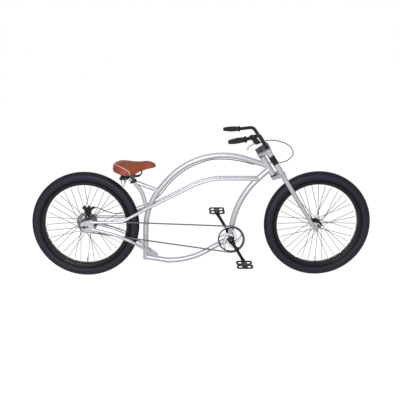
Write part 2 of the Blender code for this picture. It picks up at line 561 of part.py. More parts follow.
def build_hub(name, hub_axle, flange_y, flange_radius, half_hub, extra):
    low, high = -flange_y - FLANGE_THICK / 2, flange_y + FLANGE_THICK / 2
    bore = AXLE_RADIUS + RUN
    profile = [(bore, -half_hub), (HUB_END_RADIUS, -half_hub), (HUB_END_RADIUS, low - 0.004), (BARREL_RADIUS, low),
               (flange_radius, low), (flange_radius, low + FLANGE_THICK), (BARREL_RADIUS, low + FLANGE_THICK + 0.003),
               (BARREL_RADIUS, high - FLANGE_THICK - 0.003), (flange_radius, high - FLANGE_THICK),
               (flange_radius, high)] + extra + [(HUB_END_RADIUS, half_hub), (bore, half_hub)]
    hub = piece(f"{name}_hub", turned("hub", profile, 16, True), "spoke_grey", hub_axle)
    bars = [spoke(*spoke_ends(index, flange_y, flange_radius)) for index in range(SPOKES)]
    fuse(hub, tool(f"{name}_spokes", joined("spokes", bars), hub_axle))


def build_axle(name, parent, place, inner_face, plate_thick, half_hub):
    """Axle with a lock nut inside each plate and an end nut outside it."""
    outer = inner_face + plate_thick + GAP
    tip = outer + NUT_THICK + AXLE_END
    half = [(AXLE_RADIUS, half_hub + GAP), (NUT_RADIUS - 0.001, half_hub + GAP), (NUT_RADIUS - 0.001, inner_face - GAP),
            (AXLE_RADIUS, inner_face - GAP), (AXLE_RADIUS, outer), (NUT_RADIUS, outer),
            (NUT_RADIUS, outer + NUT_THICK), (AXLE_RADIUS, outer + NUT_THICK), (AXLE_RADIUS, tip), (0, tip)]
    profile = [(radius, -z) for radius, z in reversed(half)] + half
    piece(name, turned(name, profile, 8), "dark_grey", parent, place)


def toothed_outline(teeth, tooth_height=TOOTH_HEIGHT):
    """Sprocket edge: two points at each root and one at each tip."""
    pitch_radius = CHAIN_PITCH / (2 * sin(pi / teeth))
    root, tip = pitch_radius - ROLLER_RADIUS, pitch_radius + tooth_height
    points = []
    for tooth in range(teeth):
        for share, radius in ((0.14, root), (0.50, tip), (0.86, root)):
            angle = 2 * pi * (tooth + share) / teeth
            points.append((radius * cos(angle), radius * sin(angle)))
    return points


def ring_window(number):
    """Window between two curved arms of the chainring."""
    pitch = 2 * pi / RING_ARMS
    steps, swirl, low = 5, radians(48), RING_BOSS_RADIUS
    high = CHAIN_PITCH / (2 * sin(pi / RING_TEETH)) - ROLLER_RADIUS - RING_RIM

    def edge(offset, direction):
        return [(low + (high - low) * t, number * pitch + offset(t) + swirl * t ** 1.3 * direction)
                for t in (index / steps for index in range(steps + 1))]

    first = edge(lambda t: 0.30 - 0.18 * t, 1)
    second = edge(lambda t: pitch - 0.30 - 0.02 * t, 1)
    rim = [(high, first[-1][1] + (second[-1][1] - first[-1][1]) * index / 6) for index in range(1, 6)]
    polar = first + rim + list(reversed(second))
    return [(radius * cos(angle), radius * sin(angle)) for radius, angle in polar]


def build_cranks(crank):
    face = CHAIN_LINE - SPROCKET_THICK / 2
    windows = [ring_window(number) for number in range(RING_ARMS)]
    bore = arc_points((0, 0), SPINDLE_RADIUS + GAP, 0, 2 * pi * 17 / 18, 17)
    ring_mesh = plate("chainring", [toothed_outline(RING_TEETH), bore] + windows, -face - SPROCKET_THICK, -face)
    piece("chainring", ring_mesh, "polished", crank, LATERAL)
    reach = CRANK_IN - GAP
    spindle = cylinder("spindle", SPINDLE_RADIUS, -reach, reach, 18)
    piece("crank_spindle", spindle, "dark_grey", crank, LATERAL)
    for side_name, side in SIDES:
        outline = tapered_outline(CRANK_LENGTH, CRANK_EYE, CRANK_TIP)
        arm_mesh = plate("arm", [outline], CRANK_IN, CRANK_IN + CRANK_THICK)
        turn = Matrix.Rotation(CRANK_ANGLE + (pi if side > 0 else 0), 4, "Y").inverted()
        flip = Matrix.Rotation(side * -pi / 2, 4, "X")
        arm = piece(f"crank_arm_{side_name}", arm_mesh, "black_metal", crank, turn @ TO_FRONT @ flip)
        pin_end = PEDAL_Y + PEDAL_WIDTH / 2 - PEDAL_PLATE
        pin_mesh = cylinder("pin", PEDAL_PIN_RADIUS, CRANK_IN + CRANK_THICK / 3, pin_end, 12)
        pin = tool(f"pedal_pin_{side_name}", pin_mesh, crank,
                   turn @ TO_FRONT @ flip @ Matrix.Translation((CRANK_LENGTH, 0, 0)))
        fuse(arm, pin)
        if side < 0:
            boss_mesh = cylinder("boss", CRANK_BOSS, face + SPROCKET_THICK + GAP, CRANK_IN + CRANK_THICK / 3, 20,
                                 SPINDLE_RADIUS + GAP)
            fuse(arm, tool("crank_boss", boss_mesh, crank, flip))


def build_pedal(side_name, side, crank):
    """Cage pedal: two side plates with oval holes, front and rear bars, and a barrel on the pin."""
    swing = CRANK_ANGLE + (pi if side > 0 else 0)
    holder = empty(f"pedal_{side_name}_axis", (CRANK_LENGTH * sin(swing), side * PEDAL_Y, -CRANK_LENGTH * cos(swing)),
                   crank, (-pi / 2, 0, 0))
    edge = oblong((0, 0), PEDAL_LENGTH, PEDAL_HIGH, 5)
    holes = [oblong((x, 0), PEDAL_HOLE_LENGTH, PEDAL_HOLE_WIDTH, 2) for x in PEDAL_HOLES]
    half, thick = PEDAL_WIDTH / 2, PEDAL_PLATE
    plates = [plate("cage", [edge] + holes, low, low + thick) for low in (-half, half - thick)]
    barrel = cylinder("barrel", PEDAL_BARREL_RADIUS, -half + thick / 2, half - thick / 2, 10)
    high = PEDAL_HIGH / 2 - PEDAL_PLATE / 2
    bars = [box("bar", (x - PEDAL_BAR, -high, -half + thick / 2), (x + PEDAL_BAR, high, half - thick / 2))
            for x in PEDAL_BARS]
    body = piece(f"pedal_{side_name}", plates[0], "black_metal", holder)
    helpers = [tool(f"pedal_{side_name}_{index}", mesh, holder)
               for index, mesh in enumerate([plates[1], barrel] + bars)]
    fuse(body, helpers[1], helpers[0], *helpers[2:])
    cut(body, tool(f"pedal_{side_name}_bore", cylinder("bore", PEDAL_PIN_RADIUS + RUN, -PEDAL_WIDTH, PEDAL_WIDTH, 12),
                   holder))


def chain_loop():
    """Centre points and outward directions of the loop at each half pitch, in the plane of the chain."""
    ring_radius = CHAIN_PITCH / (2 * sin(pi / RING_TEETH))
    cog_radius = CHAIN_PITCH / (2 * sin(pi / COG_TEETH))
    cog, ring = Vector((0, AXLE_Z)), Vector((CRANK_X, CRANK_Z))
    span = ring - cog
    slope = atan2(span.y, span.x)
    lean = atan2(ring_radius - cog_radius, sqrt(span.length_squared - (ring_radius - cog_radius) ** 2))
    straight = sqrt(span.length_squared - (ring_radius - cog_radius) ** 2)
    top, bottom = slope + pi / 2 + lean, slope - pi / 2 - lean
    ring_arc, cog_arc = (pi + 2 * lean) * ring_radius, (pi - 2 * lean) * cog_radius
    total = 2 * straight + ring_arc + cog_arc
    links = 2 * round(total / (2 * CHAIN_PITCH))
    rows = []
    for index in range(2 * links):
        s = total * index / (2 * links)
        if s < straight:
            out = Vector((cos(top), sin(top)))
            along_run = Vector((sin(top), -cos(top)))
            centre = cog + out * cog_radius + along_run * s
        elif s < straight + ring_arc:
            angle = top - (s - straight) / ring_radius
            out = Vector((cos(angle), sin(angle)))
            centre = ring + out * ring_radius
        elif s < 2 * straight + ring_arc:
            out = Vector((cos(bottom), sin(bottom)))
            along_run = Vector((sin(bottom), -cos(bottom)))
            centre = ring + out * ring_radius + along_run * (s - straight - ring_arc)
        else:
            angle = bottom - (s - 2 * straight - ring_arc) / cog_radius
            out = Vector((cos(angle), sin(angle)))
            centre = cog + out * cog_radius
        rows.append((centre, out, index))
    return rows, ring_radius, cog_radius


def build_chain(bicycle):
    """One loop: tall at the pins, waisted between them, every other link narrower, hollow on the sprockets."""
    rows, ring_radius, cog_radius = chain_loop()
    bm = bmesh.new()
    rings = []
    for centre, out, index in rows:
        between = index % 2
        high = CHAIN_HALF_WAIST if between else CHAIN_HALF_HIGH
        wide = CHAIN_HALF_NARROW if index % 4 == 3 else CHAIN_HALF_WIDE
        corners = ((1, 1), (1, -1), (-1, -1), (-1, 1))
        rings.append([bm.verts.new((centre.x + out.x * high * up, -CHAIN_LINE + wide * across,
                                    centre.y + out.y * high * up)) for up, across in corners])
    for ring, following in zip(rings, rings[1:] + rings[:1]):
        for a in range(4):
            b = (a + 1) % 4
            bm.faces.new((ring[a], ring[b], following[b], following[a]))
    chain = piece("chain", finish_mesh(bm, "chain"), "chain_grey", bicycle)
    half = SPROCKET_THICK / 2 + GAP
    for name, radius, x, z in (("ring_groove", ring_radius, CRANK_X, CRANK_Z), ("cog_groove", cog_radius, 0, AXLE_Z)):
        groove = cylinder(name, (radius + TOOTH_HEIGHT + GAP) / cos(pi / 36), -half, half, 36)
        cut(chain, tool(name, groove, bicycle, Matrix.Translation((x, -CHAIN_LINE, z)) @ LATERAL))


def build_cog(rear_cog):
    low = -CHAIN_LINE - SPROCKET_THICK / 2
    cog = piece("rear_cog", plate("cog", [toothed_outline(COG_TEETH)], low, low + SPROCKET_THICK), "dark_grey",
                rear_cog)
    out, inside = -CHAIN_LINE - DRUM_OUT, -CHAIN_LINE + DRUM_IN
    drum = turned("drum", [(0, out), (DRUM_RADIUS - 0.002, out), (DRUM_RADIUS, out + 0.0015), (DRUM_RADIUS, inside),
                           (0, inside)], 20)
    fuse(cog, tool("cog_drum", drum, rear_cog))
    cut(cog, tool("cog_bore", cylinder("cog_bore", BARREL_RADIUS + RUN, -0.1, 0.1, 20), rear_cog))


def build_rotor(rear_wheel):
    """Brake disc with a ring of drilled holes and six windows."""
    edge = arc_points((0, 0), ROTOR_RADIUS, 0, 2 * pi * 35 / 36, 35)
    bore = arc_points((0, 0), ROTOR_BORE + GAP, 0, 2 * pi * 15 / 16, 15)
    windows = []
    for number in range(6):
        middle = number * pi / 3
        outer = arc_points((0, 0), 0.72 * ROTOR_RADIUS, middle - 0.34, middle + 0.34, 5)
        inner = arc_points((0, 0), ROTOR_BOSS + 0.002, middle + 0.22, middle - 0.22, 3)
        windows.append(outer + inner)
    mesh = plate("rotor", [edge, bore] + windows, ROTOR_Y - ROTOR_THICK / 2, ROTOR_Y + ROTOR_THICK / 2)
    piece("brake_rotor", mesh, "polished", rear_wheel)


def build_caliper(bicycle):
    """Caliper over the top of the rotor, on the left dropout."""
    outline = [(ahead, ROTOR_RADIUS + up) for ahead, up in CALIPER]
    mesh = plate("caliper", [outline], -ROTOR_Y - CALIPER_OUTSIDE, -ROTOR_Y + CALIPER_INSIDE)
    at_axle = Matrix.Translation((0, 0, AXLE_Z))
    caliper = piece("brake_caliper", mesh, "black_metal", bicycle, at_axle @ UPRIGHT)
    half = ROTOR_THICK / 2 + ROTOR_SLOT_GAP
    slot = cylinder("rotor_slot", ROTOR_RADIUS + 0.003, ROTOR_Y - half, ROTOR_Y + half, 32)
    cut(caliper, tool("rotor_slot", slot, bicycle, at_axle @ LATERAL))
    inner = DROPOUT_Y - DROPOUT_THICK / 2 - GAP
    foot = tool("caliper_foot", box("foot", (CALIPER_FOOT, ROTOR_Y + 0.010, CALIPER_FOOT_LOW),
                                    (CALIPER_FOOT_FRONT, inner, ROTOR_RADIUS - 0.016)), bicycle, at_axle)
    stop = tool("cable_stop", cylinder("stop", CABLE_STOP_RADIUS, 0.032, 0.056, 10), bicycle,
                Matrix.Translation((0, CABLE_STOP_Y, AXLE_Z + ROTOR_RADIUS + CABLE_STOP_UP)) @ TO_FRONT)
    fuse(caliper, foot, stop)


def saddle_section(x, half, top, skirt):
    """Closed section: crown over the top, a skirt at each side and a flat pan below."""
    pan = max(pan_height(x), skirt + 0.002)
    rise = top - skirt
    crown = list(SADDLE_CROWN)
    rows = [(-PAN_HALF, None)] + crown + [(-y, z) for y, z in reversed(crown)] + [(PAN_HALF, None)]
    return [(x, y * half, pan if z is None else skirt + rise * z) for y, z in rows]


def build_saddle(rider):
    bm = bmesh.new()
    sections = [[bm.verts.new(point) for point in saddle_section(*row)] for row in SADDLE]
    for first, second in zip(sections, sections[1:]):
        for a in range(len(first)):
            b = (a + 1) % len(first)
            bm.faces.new((first[a], first[b], second[b], second[a]))
    bm.faces.new(sections[0])
    bm.faces.new(sections[-1])
    piece("saddle", finish_mesh(bm, "saddle"), "leather", rider)


def pan_height(x):
    return PAN_Z + PAN_SLOPE * (x - PAN_X)


def build_saddle_frame(rider):
    """Two wires from the nose under the clamp to the rear bracket that seats the pan."""
    helpers = []
    seat = pan_height(WIRE_NOSE - RAIL_RADIUS) - GAP
    for side_name, side in SIDES:
        y = side * RAIL_Y
        corners = [(WIRE_NOSE, y, seat), (WIRE_NOSE - 0.002, y, RAIL_Z + 0.0025), (WIRE_FRONT, y, RAIL_Z - 0.0005),
                   (WIRE_REAR, y, RAIL_Z + 0.0005)]
        wire = sweep("wire", bent_path(corners, WIRE_BENDS, radians(18)), RAIL_RADIUS, 6)
        helpers.append(tool(f"rail_wire_{side_name}", wire, rider))
        post = box("post", (POST_BACK, side * POST_Y - POST_HALF, BRACKET_HIGH - 0.001),
                   (POST_FRONT, side * POST_Y + POST_HALF, pan_height(POST_BACK) - GAP))
        helpers.append(tool(f"bracket_post_{side_name}", post, rider))
    bracket_mesh = box("bracket", (BRACKET_BACK, -SPRING_Y - BRACKET_END, BRACKET_LOW),
                       (BRACKET_FRONT, SPRING_Y + BRACKET_END, BRACKET_HIGH))
    bracket = piece("saddle_bracket", bracket_mesh, "black_metal", rider)
    fuse(bracket, *helpers)
    top = BRACKET_LOW - GAP
    for side_name, side in SIDES:
        spring = turned("spring", [(0, SPRING_LOW), (SPRING_END_RADIUS, SPRING_LOW),
                                   (SPRING_TOP_RADIUS, top - SPRING_TOP), (SPRING_TOP_RADIUS, top), (0, top)], 16)
        piece(f"saddle_spring_{side_name}", spring, "polished", rider,
              Matrix.Translation((SPRING_X, side * SPRING_Y, 0)))


def build_seat_post(bicycle, rider, strut):
    """Clamp collar on the mast with its quick-release lever, the post above it and the saddle clamp."""
    top, below = in_frame(MAST[:2])
    seat = tilted(top, (top - below).normalized())
    outer = MAST_RADIUS + COLLAR_WALL
    low = -COLLAR_HEIGHT - GAP
    collar_mesh = cylinder("collar", outer, low, -GAP, 20, (MAST_RADIUS + GAP) / cos(pi / 20))
    collar = piece("seat_collar", collar_mesh, "black_metal", bicycle, seat)
    ear = box("ear", (-outer - 0.0108, -0.006, low + 0.002), (-outer + 0.002, 0.006, -0.0030))
    lever = sweep("lever", QUICK_LEVER, QUICK_LEVER_RADIUS, 8)
    fuse(collar, tool("collar_ear", ear, bicycle, seat), tool("collar_lever", lever, bicycle, seat))
    room = cylinder("collar_room", outer + 2 * GAP, low - 2 * GAP, 0.02, 20)
    cut(strut, tool("collar_room", room, bicycle, seat))
    piece("seat_post", cylinder("post", POST_RADIUS, GAP, POST_LENGTH, 16), "black_metal", bicycle, seat)
    half = RAIL_Y + CLAMP_OVER
    clamp = piece("saddle_clamp", box("clamp", (CLAMP_BACK, -half, CLAMP_LOW), (CLAMP_FRONT, half, CLAMP_HIGH)),
                  "dark_grey", rider)
    post_room = tool("post_room", cylinder("post_room", POST_RADIUS + GAP, -0.02, POST_LENGTH + GAP, 16), bicycle,
                     seat)
    wire_rooms = [tool(f"wire_room_{side_name}",
                       sweep("wire_room", [(0.06, side * RAIL_Y, RAIL_Z), (-0.06, side * RAIL_Y, RAIL_Z)],
                             RAIL_RADIUS + 0.0008, 8), rider) for side_name, side in SIDES]
    cut(clamp, post_room, *wire_rooms)


def build_fork(steering):
    steerer = cylinder("steerer", STEERER_RADIUS, LOWER_CROWN, STEERER_TOP, 24)
    piece("steerer", steerer, "dark_grey", steering)
    build_crown(steering, "lower_crown", LOWER_CROWN, LOWER_CROWN_THICK)
    build_crown(steering, "upper_crown", UPPER_CROWN, UPPER_CROWN_THICK)
    for side_name, side in SIDES:
        y = side * LEG_Y
        tip = [(0.0085, LEG_FOOT), (0.0105, LEG_FOOT + 0.030), (LEG_RADIUS, WHEEL_RADIUS - 0.050)]
        collars = [(LOWER_CROWN - COLLAR_BELOW, LOWER_CROWN - GAP),
                   (LOWER_CROWN + LOWER_CROWN_THICK + GAP, SLEEVE_LOW - GAP), (SLEEVE_HIGH + GAP, UPPER_CROWN - GAP)]
        steps = [(radius, z) for low, high in collars
                 for radius, z in ((LEG_RADIUS, low), (COLLAR_RADIUS, low), (COLLAR_RADIUS, high), (LEG_RADIUS, high))]
        top = [(LEG_RADIUS, LEG_TOP - 0.003), (LEG_RADIUS - 0.003, LEG_TOP), (0, LEG_TOP)]
        leg_mesh = turned("leg", [(0, LEG_FOOT)] + tip + steps + top, 12)
        leg = piece(f"fork_leg_{side_name}", leg_mesh, "silver", steering, Matrix.Translation((LEG_AHEAD, y, 0)))
        tab_y = side * (FORK_INNER + FORK_PLATE / 2)
        tab_outline = [(LEG_AHEAD - 0.006, 0.045), (LEG_AHEAD + 0.006, 0.045), (RAKE + 0.013, 0.010),
                       (RAKE + 0.013, -0.013), (RAKE - 0.013, -0.013), (LEG_AHEAD - 0.006, LEG_FOOT + 0.004)]
        tab_mesh = plate("tab", [tab_outline, arc_points((RAKE, 0), AXLE_RADIUS + GAP, 0, 2 * pi * 11 / 12, 11)],
                         -FORK_PLATE / 2, FORK_PLATE / 2)
        tab = tool(f"fork_tab_{side_name}", tab_mesh, steering, Matrix.Translation((0, tab_y, 0)) @ UPRIGHT)
        fuse(leg, tab)
        sleeve = cylinder("sleeve", SLEEVE_RADIUS, SLEEVE_LOW, SLEEVE_HIGH, 20, LEG_RADIUS + GAP)
        piece(f"fork_sleeve_{side_name}", sleeve, "black_metal", steering, Matrix.Translation((LEG_AHEAD, y, 0)))


def build_crown(steering, name, low, thick):
    """Yoke that clamps the steerer and both legs."""
    leg_boss = LEG_RADIUS + CROWN_WALL
    outline = []
    outline += arc_points((0, 0), CROWN_BOSS, radians(125), radians(235), 6)
    outline += arc_points((LEG_AHEAD, -LEG_Y), leg_boss, radians(215), radians(400), 8)
    outline += [(LEG_AHEAD - 0.016, -0.030), (LEG_AHEAD - 0.019, 0.0), (LEG_AHEAD - 0.016, 0.030)]
    outline += arc_points((LEG_AHEAD, LEG_Y), leg_boss, radians(-40), radians(145), 8)
    holes = [arc_points((0, 0), STEERER_RADIUS + GAP, 0, 2 * pi * 23 / 24, 23)]
    holes += [arc_points((LEG_AHEAD, side * LEG_Y), (LEG_RADIUS + GAP) / cos(pi / 12), 0, 2 * pi * 11 / 12, 11)
              for _, side in SIDES]
    piece(name, plate(name, [outline] + holes, low, low + thick), "silver", steering)


def build_stem(steering):
    """Top clamp on the steerer with the handlebar clamp ahead of it."""
    low = STEM_LOW
    outline = arc_points((0, 0), STEM_BACK_RADIUS, radians(60), radians(300), 10)
    outline += [(BAR_AHEAD - 0.004, -STEM_HALF), (BAR_AHEAD - 0.004, STEM_HALF)]
    holes = [arc_points((0, 0), STEERER_RADIUS + GAP, 0, 2 * pi * 23 / 24, 23)]
    stem = piece("stem", plate("stem", [outline] + holes, low, low + STEM_HEIGHT), "dark_grey", steering)
    seat = Matrix.Translation((BAR_AHEAD, 0, BAR_HEIGHT)) @ LATERAL
    barrel = tool("bar_clamp", cylinder("bar_clamp", BAR_RADIUS + BAR_CLAMP_WALL, -BAR_CLAMP_HALF,
                                       BAR_CLAMP_HALF, 20), steering, seat)
    bar_cut = tool("bar_cutter", cylinder("bar_cutter", BAR_RADIUS + GAP, -0.05, 0.05, 20), steering, seat)
    fuse(stem, barrel)
    cut(stem, bar_cut)


def bar_corners(side):
    return [(BAR_AHEAD + ahead, side * out, BAR_HEIGHT + up) for ahead, out, up in BAR_SHAPE]


def bar_path():
    corners = list(reversed(bar_corners(-1))) + bar_corners(1)
    return bent_path(corners, tuple(reversed(BAR_BENDS)) + BAR_BENDS, radians(16))


def build_bars(steering):
    piece("handlebar", sweep("handlebar", bar_path(), BAR_RADIUS, 10), "black_metal", steering)
    for side_name, side in SIDES:
        start, end = Vector(bar_corners(side)[2]), Vector(bar_corners(side)[3])
        outward = (end - start).normalized()
        start = start + outward * GRIP_INSET
        length = (end - start).length
        bore = BAR_RADIUS + GAP
        profile = [(bore, 0), (GRIP_FLANGE_RADIUS, 0), (GRIP_FLANGE_RADIUS, 0.004), (0.0150, 0.007),
                   (GRIP_RADIUS, 0.045), (0.0160, 0.085), (GRIP_END_RADIUS, length), (GRIP_END_RADIUS, length + 0.004),
                   (0, length + 0.004), (0, length + GAP), (bore, length + GAP)]
        piece(f"grip_{side_name}", turned("grip", profile, 16, True), "grip_black", steering, along(start, end))


def build_lever(steering):
    """Brake lever clamp on the right of the bar, with its barrel for the cable and its short blade."""
    start, end = Vector(bar_corners(-1)[1]), Vector(bar_corners(-1)[2])
    direction = (end - start).normalized()
    centre = start.lerp(end, PERCH_SHARE)
    ring = cylinder("perch", BAR_RADIUS + PERCH_WALL, -PERCH_HALF, PERCH_HALF, 16)
    perch = piece("lever_perch", ring, "black_metal", steering, along(centre, centre + direction))
    clamp = empty("bar_clamp_axis", (BAR_AHEAD, 0, BAR_HEIGHT), steering)
    body = sweep("perch_body", LEVER_BODY, LEVER_BODY_RADIUS, 8, LEVER_BODY_FACTORS)
    fuse(perch, tool("perch_body", body, clamp))
    cut(perch, tool("perch_bore", sweep("perch_bore", bar_path(), BAR_RADIUS + GAP, 10), steering))
    blade = piece("lever_blade", sweep("blade", LEVER_BLADE, LEVER_BLADE_RADIUS, 8, LEVER_BLADE_FACTORS),
                  "black_metal", clamp)
    room = sweep("blade_room", LEVER_BODY, LEVER_BODY_RADIUS + GAP, 8, LEVER_BODY_FACTORS)
    cut(blade, tool("blade_room", room, clamp))


def build_cable(bicycle):
    for name, route in (("brake_cable", CABLE_ON_FRAME), ("brake_cable_loop", CABLE_LOOP)):
        piece(name, sweep(name, smooth_path(route), CABLE_RADIUS, 8), "cable_black", bicycle)


def main():
    clear_scene()
    bicycle = empty("bicycle", (-RIDER_X, 0, -RIDER_Z))
    rider = empty("rider_seat", (RIDER_X, 0, RIDER_Z), bicycle)
    steering = empty("steering_axis", on_steering(0), bicycle, (0, -HEAD_TILT, 0))
    rear_wheel = empty("rear_wheel_axis", (0, 0, AXLE_Z), bicycle, (-pi / 2, 0, 0))
    rear_cog = empty("rear_cog_axis", (0, 0, AXLE_Z), bicycle, (-pi / 2, 0, 0))
    front_wheel = empty("front_wheel_axis", (RAKE, 0, 0), steering, (-pi / 2, 0, 0))
    crank = empty("crank_axis", (CRANK_X, 0, CRANK_Z), bicycle)
    strut = build_tubes(bicycle, steering)
    build_head(bicycle, steering)
    build_stays(bicycle)
    rear_inner = DROPOUT_Y - DROPOUT_THICK / 2
    rear_half, front_half = rear_inner - HUB_GAP, FORK_INNER - HUB_GAP
    build_wheel("rear", rear_wheel, REAR_FLANGE_Y, REAR_FLANGE_RADIUS, rear_half,
                [(ROTOR_BOSS, REAR_FLANGE_Y + 0.002), (ROTOR_BOSS, ROTOR_Y - ROTOR_THICK / 2 - GAP),
                 (ROTOR_BORE, ROTOR_Y - ROTOR_THICK / 2 - GAP), (ROTOR_BORE, ROTOR_Y + 0.004),
                 (HUB_END_RADIUS, ROTOR_Y + 0.004)])
    build_wheel("front", front_wheel, FRONT_FLANGE_Y, FRONT_FLANGE_RADIUS, front_half,
                [(BARREL_RADIUS, FRONT_FLANGE_Y + FLANGE_THICK / 2), (HUB_END_RADIUS, FRONT_FLANGE_Y + 0.0055)])
    build_axle("rear_axle", bicycle, Matrix.Translation((0, 0, AXLE_Z)) @ LATERAL, rear_inner, DROPOUT_THICK,
               rear_half)
    build_axle("front_axle", steering, Matrix.Translation((RAKE, 0, 0)) @ LATERAL, FORK_INNER, FORK_PLATE, front_half)
    build_cog(rear_cog)
    build_rotor(rear_wheel)
    build_caliper(bicycle)
    build_chain(bicycle)
    build_cranks(crank)
    for side_name, side in SIDES:
        build_pedal(side_name, side, crank)
    build_seat_post(bicycle, rider, strut)
    build_saddle_frame(rider)
    build_saddle(rider)
    build_fork(steering)
    build_stem(steering)
    build_bars(steering)
    build_lever(steering)
    build_cable(bicycle)


main()
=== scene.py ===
import json
from math import acos, atan2, ceil, cos, pi, radians, sin, sqrt, tan

import bmesh
import bpy
from mathutils import Matrix, Vector
from mathutils.bvhtree import BVHTree


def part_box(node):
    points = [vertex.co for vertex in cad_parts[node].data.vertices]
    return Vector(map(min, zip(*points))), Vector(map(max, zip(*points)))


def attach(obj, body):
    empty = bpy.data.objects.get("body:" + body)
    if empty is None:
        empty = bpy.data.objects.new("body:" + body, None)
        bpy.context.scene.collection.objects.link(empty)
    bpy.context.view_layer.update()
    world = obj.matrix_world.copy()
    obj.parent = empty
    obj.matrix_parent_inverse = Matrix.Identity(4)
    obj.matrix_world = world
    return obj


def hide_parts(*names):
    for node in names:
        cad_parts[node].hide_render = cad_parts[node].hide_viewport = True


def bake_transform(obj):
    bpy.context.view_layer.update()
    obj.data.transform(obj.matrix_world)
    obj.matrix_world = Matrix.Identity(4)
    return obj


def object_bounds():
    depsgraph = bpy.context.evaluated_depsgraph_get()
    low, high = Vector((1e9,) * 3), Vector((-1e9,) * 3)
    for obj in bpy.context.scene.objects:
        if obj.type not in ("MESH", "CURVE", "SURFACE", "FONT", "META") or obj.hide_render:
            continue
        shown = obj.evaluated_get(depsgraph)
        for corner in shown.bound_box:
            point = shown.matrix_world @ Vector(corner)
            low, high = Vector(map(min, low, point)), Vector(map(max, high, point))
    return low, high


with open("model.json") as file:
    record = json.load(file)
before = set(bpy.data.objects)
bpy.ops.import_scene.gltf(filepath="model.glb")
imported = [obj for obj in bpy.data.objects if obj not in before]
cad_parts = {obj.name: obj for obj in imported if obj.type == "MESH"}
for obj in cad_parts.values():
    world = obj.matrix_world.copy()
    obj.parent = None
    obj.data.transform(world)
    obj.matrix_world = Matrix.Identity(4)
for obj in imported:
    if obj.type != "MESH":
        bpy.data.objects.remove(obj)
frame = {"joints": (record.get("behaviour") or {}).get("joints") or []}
cadBounds = [list(corner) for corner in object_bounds()]
joints = {joint["name"]: joint for joint in frame["joints"]}
moved = Matrix.Translation


def turned(angle, axis):
    return Matrix.Rotation(angle, 4, axis)


def jointPlace(name):
    return Vector(joints[name]["pos_m"])


def tiltedSpace(origin, up):
    return moved(origin) @ Matrix(((up.z, 0, up.x), (0, 1, 0), (-up.x, 0, up.z))).to_4x4()


rearAxle, frontAxle = jointPlace("rear_wheel_spin"), jointPlace("front_wheel_spin")
crankAxle = jointPlace("crank_spin")
steerSpace = tiltedSpace(jointPlace("steering_turn"), Vector(joints["steering_turn"]["axis"]))
acrossTurn = turned(-pi / 2, "X")  # a mesh's own Z becomes the bicycle's left
uprightTurn = turned(pi / 2, "X")  # an outline in X, Y stands up in X, Z
crankSpace, rearSpace, frontSpace = (moved(axle) @ acrossTurn for axle in (crankAxle, rearAxle, frontAxle))
sides = (("Right", -1), ("Left", 1))
print("frame loaded")


# Paths and meshes

def polar(reach, angle):
    return reach * cos(angle), reach * sin(angle)


def bentPath(corners, shares, step=radians(4)):
    corners = [Vector(corner) for corner in corners]
    points = [corners[0]]
    for before, corner, after, share in zip(corners, corners[1:], corners[2:], shares):
        back, ahead = (before - corner).normalized(), (after - corner).normalized()
        half = acos(max(-1, min(1, back.dot(ahead)))) / 2
        setback = share * min((before - corner).length, (after - corner).length)
        radius = setback * tan(half)
        centre = corner + (back + ahead).normalized() * radius / sin(half)
        across = (corner + back * setback - centre).normalized()
        turn = pi - 2 * half
        count = max(2, ceil(turn / step))
        for angle in (turn * index / count for index in range(count + 1)):
            points.append(centre + radius * (cos(angle) * across - sin(angle) * back))
    return points + [corners[-1]]


def smoothPath(points, between=6, closed=False):
    route = [Vector(point) for point in points]
    if closed:
        route = [route[-1]] + route + route[:2]
    else:
        route = [2 * route[0] - route[1]] + route + [2 * route[-1] - route[-2]]
    path = []
    for a, b, c, d in zip(route, route[1:], route[2:], route[3:]):
        for t in (index / between for index in range(between)):
            path.append(0.5 * (2 * b + (c - a) * t + (2 * a - 5 * b + 4 * c - d) * t ** 2
                + (3 * b - a - 3 * c + d) * t ** 3))
    return path if closed else path + [route[-2]]


def easedFactors(values, between=6):
    fine = []
    for low, high in zip(values, values[1:]):
        fine += [low + (high - low) * index / between for index in range(between)]
    return fine + [values[-1]]


def arcPoints(centre, radius, start, end, count):
    angles = [start + (end - start) * index / count for index in range(count + 1)]
    return [(centre[0] + radius * cos(angle), centre[1] + radius * sin(angle)) for angle in angles]


def circlePoints(centre, radius, count=24):
    return arcPoints(centre, radius, 0, 2 * pi * (count - 1) / count, count - 1)


def circleRow(count, reach, radius, fine, turn=0.0):
    return [circlePoints(polar(reach, turn + 2 * pi * number / count), radius, fine)
        for number in range(count)]


def roundedSlot(centre, length, width, count=8):
    half = (length - width) / 2
    right = arcPoints((centre[0] + half, centre[1]), width / 2, -pi / 2, pi / 2, count)
    return right + arcPoints((centre[0] - half, centre[1]), width / 2, pi / 2, 3 * pi / 2, count)


def roundedOutline(corners, share=0.25, steps=4):
    points = []
    for before, corner, after in zip(corners[-1:] + corners[:-1], corners, corners[1:] + corners[:1]):
        corner, back, ahead = Vector(corner), Vector(before) - Vector(corner), Vector(after) - Vector(corner)
        reach = share * min(back.length, ahead.length)
        first, last = corner + back.normalized() * reach, corner + ahead.normalized() * reach
        for t in (index / steps for index in range(steps + 1)):
            points.append(tuple((1 - t) ** 2 * first + 2 * t * (1 - t) * corner + t ** 2 * last))
    return points


def bothEnds(half, low=0.0, high=0.0):
    return [(radius, low + z) for radius, z in half] + [(radius, high - z) for radius, z in reversed(half)]


def ringProfile(inner, outer, low, high, edge):
    return bothEnds([(inner, 0), (outer - edge, 0), (outer, edge)], low, high)


def finishedMesh(work, repair=True):
    if repair:
        bmesh.ops.recalc_face_normals(work, faces=work.faces)
    mesh = bpy.data.meshes.new("mesh")
    work.to_mesh(mesh)
    work.free()
    return mesh


